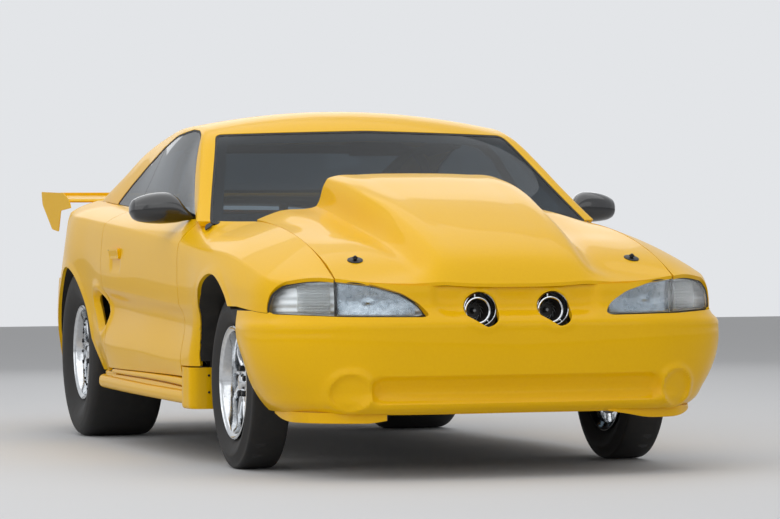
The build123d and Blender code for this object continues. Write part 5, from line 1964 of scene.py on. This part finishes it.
@dataclass
class Cabin:
    """Driver's seat with its harness, steering wheel, dashboard and controls."""

    driver: float = 365.0
    hub: tuple[float, float] = (960.0, 800.0)
    lean: float = 20.0
    seat_path: Rows = ((1185, 398), (1300, 392), (1470, 384), (1550, 396), (1590, 440), (1640, 600), (1700, 820),
                       (1748, 1000), (1766, 1078))
    seat_across: Rows = ((-214, 96), (-213, 66), (-204, 30), (-178, 8), (-120, 0), (0, -3), (120, 0), (178, 8),
                         (204, 30), (213, 66), (214, 96))
    dash: Pairs = ((380, 838), (520, 850), (632, 846), (684, 818), (697, 784), (690, 722), (646, 692), (380, 684))

    def build(self) -> None:
        """Makes every piece of the cabin."""
        self.build_seat()
        self.build_harness()
        self.build_wheel()
        self.build_dash()
        self.build_cage_pads()

    def build_seat(self) -> None:
        """Makes the bucket, its cushions and its brackets."""
        path = path_through(self.seat_path, 16)
        way = unit(np.gradient(path, axis=0))
        across = path_through(self.seat_across, 14)
        rows = []
        for (station, height), (ds, dz), t in zip(path, way, np.linspace(0, 1, len(path))):
            wing = 0.45 + 0.75 * bump(t - 0.42, 0.3) - 0.35 * max(0.0, t - 0.86) / 0.14
            width = 1 - 0.26 * max(0.0, t - 0.78) / 0.22
            rows.append([(self.driver + x * width, station - dz * lift * wing, height + ds * lift * wing)
                         for x, lift in across])
        Sheet.grid(rows, (0, -1, 1)).walled(7.0).made("seat_bucket", BLACK_GLOSS, "driver_seat", smooth=ROUND)
        x = self.driver
        pivot = Matrix.Translation(placed(x, 1604, 470))
        for name, low, high, angle in (("seat_cushion", (x - 158, 1215, 398), (x + 158, 1530, 452), 0.0),
                                       ("seat_back_pad", (x - 160, 1590, 470), (x + 160, 1632, 860), 15.5),
                                       ("seat_head_pad", (x - 105, 1590, 900), (x + 105, 1636, 1050), 15.5)):
            piece = block(low, high, 19, 5)
            with editing(piece):
                bpy.ops.mesh.subdivide(number_cuts=2, smoothness=0.3)
            piece.data.transform(pivot @ Matrix.Rotation(radians(-angle), 4, "X") @ pivot.inverted())
            finished([piece], name, SEAT_CLOTH, smooth=60)
        legs = blocks((x - 130, x + 130), ((12, 1240, 1560, 252, 292, 3), (4, 1250, 1296, 286, 390, 1.5),
                                           (4, 1500, 1546, 286, 390, 1.5)))
        finished(legs, "seat_rails", CAGE_PAINT)

    def build_harness(self) -> None:
        """Makes the belts and the buckle."""
        x = self.driver
        belts = [((x, 1502, 474), (x, 1470, 458), (x, 1420, 456))]
        for way in (-1, 1):
            belts.append(((x + way * 62, 1800, 985), (x + way * 62, 1742, 992), (x + way * 66, 1690, 940),
                          (x + way * 72, 1600, 760), (x + way * 48, 1545, 560), (x + way * 12, 1502, 476)))
            belts.append(((x + way * 196, 1580, 420), (x + way * 150, 1540, 462), (x + way * 70, 1515, 474),
                          (x + way * 12, 1502, 474)))
        merged([swept(points, 24, 10, 0.07, 26) for points in belts]).made("harness_belts", HARNESS)
        buckle = turned([(-6, CORE), (-6, 26), (2, 27), (7, 22), (8, 10), (6, CORE)], placed(x, 1500, 484),
                        Vector((0, -0.35, 0.94)).normalized(), 32)
        finished([buckle], "harness_buckle", DARK_STEEL)

    def build_wheel(self) -> None:
        """Makes the steering wheel: grip, spokes, hub and column."""
        axis = Vector((0, cos(radians(self.lean)), sin(radians(self.lean))))
        centre, turn = placed(self.driver, *self.hub), axis.to_track_quat("Z", "Y")
        middle = centre + axis * 0.009
        bpy.ops.object.select_all(action="DESELECT")
        bpy.ops.mesh.primitive_torus_add(location=middle, rotation=turn.to_euler(), major_radius=0.157,
                                         minor_radius=0.0125, major_segments=72, minor_segments=16)
        finished([bpy.context.active_object], "steering_grip", RUBBER_SEAL, "steering_wheel", "steering", 60)
        place = Matrix.Translation(middle) @ turn.to_matrix().to_4x4()
        spokes = [block((32, -13, -2.2), (150, 13, 2.2), 1.8, at=place @ Matrix.Rotation(radians(angle), 4, "Z"))
                  for angle in (0, 90, 180)]
        profile = [(24, 22), (20, 30), (6, 40), (2, 40), (-6, 30), (-40, 26), (-44, 22), (-190, 21)]
        hub = solid(profile, centre, axis, 48)
        finished([*spokes, hub], "steering_hub", BLACK_GLOSS, body="steering")

    def build_dash(self) -> None:
        """Makes the dashboard, its dials and its switch panel."""
        rows = []
        for x in np.linspace(-688, 688, 61):
            side = min(1.0, (690 - abs(x)) / 60 + 0.35)
            hood = ramp(np.array(140 - abs(x - self.driver)), 40).item()
            ring = []
            for station, height in rounded(self.dash, 16, 3):
                lift = hood * (14 if height > 830 else 0)
                push = hood * 86 * max(0.0, min(1.0, (station - 560) / 100)) * (1 if height > 790 else 0.25)
                ring.append((x, 380 + (station - 380) * (0.86 + 0.14 * side) + push, height + lift))
            rows.append(ring)
        Sheet.loop(rows).made("dashboard_shell", DASH_VINYL, "dashboard", smooth=ROUND)
        dials, rims = [], []
        rear = Vector((0, 1, 0.12)).normalized()
        for x, height, radius in ((-70, 800, 42), (70, 800, 42), (0, 806, 30), (-130, 792, 22), (130, 792, 22)):
            foot = placed(self.driver + x, 778 - abs(x) * 0.05, height - 30)
            dials.append(solid([(0, radius - 3), (3, radius - 3)], foot, rear, 40))
            rims.append(turned([(-2, radius - 3), (-2, radius), (7, radius), (8, radius - 2), (5, radius - 4)], foot,
                               rear, 40))
        finished(dials, "dial_faces", DARK_DIAL)
        finished(rims, "dial_bezels", POLISHED)
        switches = blocks((-86, -46, -6, 34, 74), ((7, 710, 719, 727, 749, 2), (7, 710, 719, 767, 789, 2)))
        finished([block((-118, 690, 706), (96, 712, 806), 6), *switches], "switch_panel", BLACK_PLASTIC)
        lever = ((40, 1060, 398), (40, 1064, 470), (42, 1050, 560), (44, 1034, 606))
        swept(lever, 7, 12).made("shift_lever", POLISHED)
        finished([block((-20, 960, 398), (100, 1130, 426), 8), block((22, 1014, 600), (66, 1052, 650), 10)],
              "shifter_body", BLACK_GLOSS)
        pedals = blocks((self.driver - 70, self.driver + 60), ((26, 540, 552, 420, 492, 3), (6, 470, 545, 470, 482, 2)))
        finished(pedals, "pedals", POLISHED)

    def build_cage_pads(self) -> None:
        """Makes the roll cage again in round tube with its pads and feet."""
        hoop = ((-600, 1860, 251), (-600, 1860, 880), (-592, 1860, 960), (-530, 1860, 1170), (-490, 1860, 1216),
                (-430, 1860, 1226), (430, 1860, 1226), (490, 1860, 1216), (530, 1860, 1170), (592, 1860, 960),
                (600, 1860, 880), (600, 1860, 251))
        tubes = []
        for path in (((500, 1850, 1215), (506, 1250, 1240), (536, 1100, 1215), (568, 1010, 1156), (636, 780, 920),
                      (640, 760, 860), (640, 760, 251)),
                     ((450, 1870, 1215), (436, 2380, 930), (430, 2420, 880), (430, 2420, 521)),
                     ((605, 1855, 640), (650, 1300, 470), (642, 765, 330))):
            tubes.append(swept(path, 18.5, ease=0).both_sides())
        tubes += [swept(hoop, 20, 16, ease=0), swept(((-590, 1860, 300), (470, 1860, 1215)), 18.5, ease=0)]
        merged(tubes).made("roll_cage_tubes", CAGE_PAINT, "roll_cage", smooth=ROUND)
        pads = [swept(path, 30, 16, ease=0) for path in (
            ((200, 1850, 1226), (430, 1850, 1226)), ((508, 1700, 1219), (505, 1330, 1236)),
            ((612, 1740, 608), (646, 1360, 486)))]
        merged(pads).made("cage_padding", RUBBER_SEAL, smooth=ROUND)
        feet = [foot for x, s, z in ((600, 1860, 251), (640, 760, 251), (430, 2420, 520.6))
                for foot in blocks((-x, x), [(45, s - 45, s + 45, z, z + 5, 1.5)])]
        finished(feet, "cage_feet", CAGE_PAINT)


# Under the hood, under the floor and at the rear


@dataclass
class EngineBay:
    """V8 engine with two turbochargers, their pipes, and the radiator."""

    half_bank: float = 45.0

    def build(self) -> None:
        """Makes the engine's castings, covers, pipes, turbochargers and radiator."""
        castings = blocks([0], ((150, -400, 290, 340, 560, 14), (128, 84, 286, 218, 345, 18),
                                (92, -380, 250, 560, 640, 12)))
        covers = []
        for way in (-1, 1):
            place = Matrix.Translation(placed(way * 118, -60, 545)) @ Matrix.Rotation(radians(way * self.half_bank), 4,
                                                                                      "Y")
            castings.append(block((-62, -330, 0), (62, 330, 100), 10, at=place))
            covers.append(block((-56, -320, 100), (56, 320, 142), 16, at=place))
        finished(castings, "engine_castings", IRON, "engine_block")
        finished(covers, "valve_covers", CAST)
        ports = [swept(((208, s - 60, 590), (258, s - 60, 560), (292, s - 74, 500), (300, s - 120, 440),
                        (296, -330, 420)), 21, 14) for s in (-250, -90, 70, 230)]
        ports.append(swept(((296, 170, 428), (300, -120, 424), (296, -430, 424), (268, -600, 470), (200, -700, 540),
                            (150, -722, 572)), 34, 18))
        merged(ports).both_sides().made("exhaust_headers", HEAT_STEEL, smooth=ROUND)
        plenum = [block((-105, -330, 712), (105, 190, 812), 26, 5), block((-64, -420, 726), (64, -326, 800), 18, 4)]
        runners = blocks((-82, 82), [(62, s - 26, s + 26, 628, 730, 14) for s in (-270, -120, 30, 150)])
        finished([*plenum, *runners], "intake_manifold", CAST)
        swept(((128, -340, 706), (128, 200, 706)), 10, 12, ease=0).both_sides().made("fuel_rails", POLISHED)
        pipe = swept(((131, -775, 630), (150, -742, 690), (128, -640, 742), (84, -520, 764), (46, -430, 764)), 36, 20)
        pipe.both_sides().made("charge_pipes", POLISHED, smooth=ROUND)
        self.build_turbos()
        self.build_front()

    def build_turbos(self) -> None:
        """Makes the compressor and turbine housings behind the inlets."""
        cold, hot = [], []
        turbine = [(70, 36), (112, 36), (116, 74), (140, 84), (160, 70), (164, 40), (190, 40)]
        for way in (-1, 1):
            centre = placed(way * 131, -830, 575)
            cold.append(turned([(0, 40), (0, 58), (14, 66), (30, 96), (52, 100), (66, 84), (70, 40)], centre, REAR, 56))
            hot.append(solid(turbine, centre, REAR, 48))
        finished(cold, "compressor_housings", CAST)
        finished(hot, "turbine_housings", HEAT_STEEL)

    def build_front(self) -> None:
        """Makes the radiator, its hoses, the pulleys, the belt and the tanks."""
        fins = [(316, -609, -557, z, z + 2.5, 0) for z in range(322, 556, 12)]
        # The radiator core is painted dark as the shade between its fins
        finished(blocks([0], [(318, -606, -560, 310, 560, 4), *fins]), "radiator_core", RADIATOR)
        finished(blocks((-340, 340), [(24, -614, -552, 300, 570, 14)]), "radiator_tanks", POLISHED)
        hoses = [swept(path, 20, 16) for path in (
            ((-330, -560, 545), (-300, -500, 600), (-170, -440, 640), (-70, -400, 640)),
            ((330, -560, 330), (300, -490, 345), (200, -440, 380), (90, -400, 400)))]
        merged(hoses).made("coolant_hoses", RUBBER_SEAL, smooth=ROUND)
        pulleys = [turned([(0, CORE), (0, r - 18), (8, r - 16), (8, r - 4), (4, r), (28, r), (26, r - 5), (26, r - 14),
                           (34, 14), (36, CORE)], placed(x, -402, z), -REAR, 48)
                   for x, z, r in ((0, 400, 78), (-110, 560, 44), (104, 570, 38), (0, 640, 50))]
        finished(pulleys, "pulleys", ZINC)
        belt = [(x, -420, z) for x, z in ((-80, 400), (-146, 566), (-104, 604), (-40, 670), (30, 686), (118, 606),
                                          (142, 566), (78, 396), (0, 320), (-80, 400))]
        swept(belt, 9, 8, 0.4).made("drive_belt", RUBBER_SEAL)
        cap = solid([(0, 24), (14, 24), (18, 20)], placed(-500, 160, 799), UP, 32)
        finished([block((-560, 60, 640), (-440, 260, 800), 22, 5), cap], "coolant_tank", POLISHED)
        finished([block((310, 250, 700), (400, 356, 760), 14), block((330, 270, 755), (384, 330, 800), 14)],
              "brake_reservoir", BLACK_PLASTIC)


@dataclass
class Underside:
    """Rear axle, links and springs, fuel cell and battery."""

    axle_height: float = 365.0

    def build(self) -> None:
        """Makes every piece under the floor and in the boot."""
        z, middle = self.axle_height, placed(0, WHEELBASE, self.axle_height)
        half = ((560, 44), (540, 44), (534, 40), (170, 40), (130, 74), (96, 122), (40, 139))
        tube = solid([*((-a, r) for a, r in half), *half[::-1]], middle, LEFT, 56)
        snout = turned([(90, CORE), (90, 84), (132, 62), (138, 66), (146, 66), (148, CORE)], middle, -REAR, 40)
        cover = turned([(120, CORE), (120, 88), (136, 86), (150, 62), (154, CORE)], middle, REAR, 48)
        finished([tube, snout, cover], "axle_casing", CAGE_PAINT, "rear_axle", smooth=ROUND)
        bolt = turned([(136, CORE), (136, 6), (142, 6), (144, CORE)], middle + LEFT * 0.076, REAR, 6)
        finished([around(bolt, 10, middle, REAR)], "axle_cover_bolts", ZINC, smooth=25)
        turns = np.linspace(0, 6.5 * 2 * pi, 150)
        springs = [swept([(x + 30 * cos(a), WHEELBASE + 30 * sin(a), 410 + 92 * a / turns[-1]) for a in turns], 5, 8,
                         1.0, 0) for x in (-440, 440)]
        merged(springs).made("rear_springs", SPRING_ENAMEL, smooth=ROUND)
        rods = [swept((low, high), radius, steps, ease=0) for low, high, radius, steps in (
            ((440, WHEELBASE, z + 39), (440, WHEELBASE, 507), 17, 18), ((440, 2204, 285), (440, 2536, 297), 15, 16),
            ((440, 2204, 420), (440, 2536, 420), 15, 16))]
        merged(rods).both_sides().made("rear_link_rods", ZINC, smooth=ROUND)
        straps = blocks((-180, 180), [(17, 2977, 3333, 521, 743.5, 3)])
        finished([block((-290, 2980, 521), (290, 3330, 740), 14, 4), *straps], "fuel_cell", BLACK_PLASTIC)
        cap = solid([(0, 62), (6, 62), (7, 44), (26, 42), (28, 36)], placed(0, 3160, 740), UP, 48)
        finished([cap], "fuel_cell_cap", POLISHED)
        finished(blocks([470], ((90, 2640, 2860, 521, 700, 10), (94, 2636, 2864, 690, 716, 8))), "battery_case",
              BLACK_GLOSS)


@dataclass
class RearDetails:
    """Bare number plate in its frame, the lamps' housings, and the boot lock."""

    def build(self, tail: Tail) -> None:
        """Makes the pieces on the rear.

        Args:
            tail: the rear surface that they follow.
        """
        stern = tail.stern()
        behind = (np.abs(stern.points[:, 0]) < 190) & (np.abs(stern.points[:, 2] - 495) < 75)
        face = float(stern.points[behind, 1].max())
        for name, finish, x, z, radius, levels in (
            ("plate_frame", BLACK_PLASTIC, 172, 63, 12, ((-22, 1.0), (3, 1.0), (5, 0.985))),
            ("bare_plate", PLATE_WHITE, 154, 47, 8, ((0, 1.0), (5.4, 1.0), (6, 0.996))),
        ):
            outline = rounded([(-x, -z), (x, -z), (x, z), (-x, z)], radius)
            rows = [[(px * k, face + off, 495 + pz * k) for px, pz in outline] for off, k in levels]
            Sheet.loop(rows).made(name, finish)
        screws = [solid([(-2, 5), (1, 5), (2, 3)], placed(x, face + 5.8, z), REAR, 14)
                  for x in (-110, 110) for z in (462, 528)]
        finished(screws, "plate_screws", ZINC)
        bars = [stern.cut(deep(tail.lamps, 2), both_ways(over(0, x - 3.5)), both_ways(under(0, x + 3.5)))
                for x in (404, 512)]
        merged([bar.raised(3.0).walled(10.0) for bar in bars]).made("tail_lamp_dividers", BLACK_GLOSS)
        stern.cut(deep(tail.lamps, -6)).raised(-20.0).walled(24.0).made("tail_lamp_housings", BLACK_PLASTIC)
        lock = solid([(-4, 14), (2, 14), (4, 11), (4, 5), (2, 4)], placed(0, 3548, 868),
                      Vector((0, 1, 0.1)).normalized(), 28)
        finished([lock], "boot_lock", POLISHED)


# Studio


@dataclass
class Studio:
    """Pale floor, soft light and the camera."""

    eye: tuple[float, float, float] = (-3.533, -12.580, 0.709)
    yaw: float = 16.68
    pitch: float = 0.20
    roll: float = -0.51
    lens: float = 147.33
    floor: str = "D5D6D8"
    backdrop: str = "E3E5E8"

    def build(self) -> None:
        """Makes the floor, the lamps, the world and the camera."""
        self.build_camera()
        self.build_floor()
        self.build_light()
        bpy.context.scene.view_settings.view_transform = "Standard"

    def build_camera(self) -> None:
        """Places the camera at the photograph's viewpoint."""
        yaw, pitch, roll = radians(self.yaw), radians(self.pitch), radians(self.roll)
        right = Vector((cos(yaw), -sin(yaw), 0))
        ahead = Vector((sin(yaw) * cos(pitch), cos(yaw) * cos(pitch), sin(pitch)))
        up = right.cross(ahead)
        side = right * cos(roll) + up * sin(roll)
        top = up * cos(roll) - right * sin(roll)
        data = bpy.data.cameras.new("camera")
        data.lens = self.lens
        camera = bpy.data.objects.new("camera", data)
        bpy.context.scene.collection.objects.link(camera)
        turn = Matrix((side, top, -ahead)).transposed().to_4x4()
        camera.matrix_world = Matrix.Translation(self.eye) @ turn
        bpy.context.scene.camera = camera

    def build_floor(self) -> None:
        """Makes the pale floor, which keeps the car's shadow."""
        bpy.ops.object.select_all(action="DESELECT")
        bpy.ops.mesh.primitive_plane_add(size=60, location=(0, 0, 0))
        floor = bpy.context.active_object
        floor.name = "studio_floor"
        dress(floor, Finish("matt_studio_floor", self.floor, self.floor, grain=400, rough=(0.8, 0.9), relief=0.0))

    def build_light(self) -> None:
        """Sets the soft boxes and the even light of the room."""
        for name, place, aim, size, power in (
            ("overhead", (-0.8, -0.6, 5.5), (0, 0, 0), (10.0, 12.0), 300),
            ("side", (-8.0, -4.0, 3.4), (0, -0.2, 0.5), (11.0, 6.0), 145),
            ("front", (1.0, -11.0, 4.2), (0, -1.5, 0.5), (13.0, 5.0), 130),
            ("back", (2.0, 9.0, 4.5), (0, 0, 0.8), (7.0, 4.0), 80),
        ):
            data = bpy.data.lights.new(name, "AREA")
            data.shape = "RECTANGLE"
            data.size, data.size_y = size
            data.energy = power
            lamp = bpy.data.objects.new(name, data)
            lamp.location = place
            lamp.rotation_euler = (Vector(aim) - Vector(place)).to_track_quat("-Z", "Y").to_euler()
            bpy.context.scene.collection.objects.link(lamp)
        world = bpy.data.worlds.new("room")
        world.use_nodes = True
        bpy.context.scene.world = world
        tree = world.node_tree
        tree.nodes.clear()
        path = add_node(tree, "LightPath", {}, {})
        seen = path.outputs["Is Camera Ray"]
        for ray in ("Is Glossy Ray", "Is Transmission Ray"):
            seen = add_node(tree, "Math", {"operation": "MAXIMUM"}, {0: seen, 1: path.outputs[ray]}).outputs["Value"]
        light = add_node(tree, "Background", {"Color": linear("FFFFFF"), "Strength": 0.38}, {})
        shown = add_node(tree, "Background", {"Color": linear(self.backdrop), "Strength": 1.0}, {})
        mixed = add_node(tree, "MixShader", {},
                         {0: seen, 1: light.outputs["Background"], 2: shown.outputs["Background"]})
        add_node(tree, "OutputWorld", {}, {"Surface": mixed.outputs["Shader"]})


NODES_BY_FINISH = (
    (PAINT, "fenders quarter_panels side_skirts roof_and_pillars door_left door_right hood rear_shelf deck_lid "
            "rear_wing front_bumper air_dam rear_bumper"),
    (BLACK_PLASTIC, "cowl_panel dashboard steering_wheel"), (CLEAR_LENS, "headlamps"), (RED_LENS, "tail_lamps"),
    (CHASSIS, "floor_pan firewall hinge_pillars front_rails wheel_houses"), (CARPET, "tunnel"),
    (ZINC, "door_hinges rear_links"), (SEAT_CLOTH, "driver_seat"), (IRON, "engine_block"),
    (CAGE_PAINT, "roll_cage front_crossmember rear_axle"),
    (CAST, "turbo_inlets gearbox_and_shaft knuckle_left knuckle_right"), (BLACK_GLOSS, "mirror_left mirror_right"),
    (TINTED_GLASS, "windscreen rear_window quarter_windows door_glass_left door_glass_right"),
    (TYRE_RUBBER, "tyre_front_left tyre_front_right tyre_rear_left tyre_rear_right"),
    (POLISHED, "rim_front_left rim_front_right rim_rear_left rim_rear_right"),
)


def main() -> None:
    """Builds the coupe around its frame."""
    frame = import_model()
    for finish, names in NODES_BY_FINISH:
        for name in names.split():
            dress(frame["nodes"][name], finish)
    Studio().build()
    sides, hood, house, tail, nose, lamps = BodySides(), Hood(), Greenhouse(), Tail(), Nose(), Headlamps()

    def outboard(points: Array) -> Array:
        """How far each point lies outboard of the deck lid."""
        edge = np.interp(points[:, 1], (2950, 2962, 3250, 3490), (600, 661, 659, 646))
        return points[:, 0] - np.where(points[:, 1] < 2950, 0, edge)

    def off_bumper(points: Array) -> Array:
        """How far each point lies above the bumper."""
        return np.where(points[:, 1] < nose.corner, points[:, 2] - 640, -nose.split(points) - 1.5)

    def off_lamp(points: Array) -> Array:
        """How far each point lies outside the headlamp and behind the headlamp's face."""
        ahead = points[:, 1] - lamps.station(points[:, 0], np.full(len(points), 676.0)) + 12
        return np.minimum(nose.outside_lamp(points), ahead)

    sides.build(within(under(1, -500), off_lamp, 1.0), within(under(1, -200), off_bumper, 1.0),
                within(over(1, 560), deep(house.line_over, 0.5), 1.0), outboard)
    for part in (hood, house, tail):
        part.build()
    nose.build(sides.arches()[0])
    for part in (lamps, Inlets(), Wheels(), Skirts(), Wing(), Mirrors(), AirDam()):
        part.build()
    DoorHandles().build(sides)
    Cowl().build(house)
    for part in (Cabin(), EngineBay(), Underside()):
        part.build()
    RearDetails().build(tail)


if __name__ == "__main__":
    logging.basicConfig(level=logging.INFO, format="%(name)s: %(message)s")
    main()
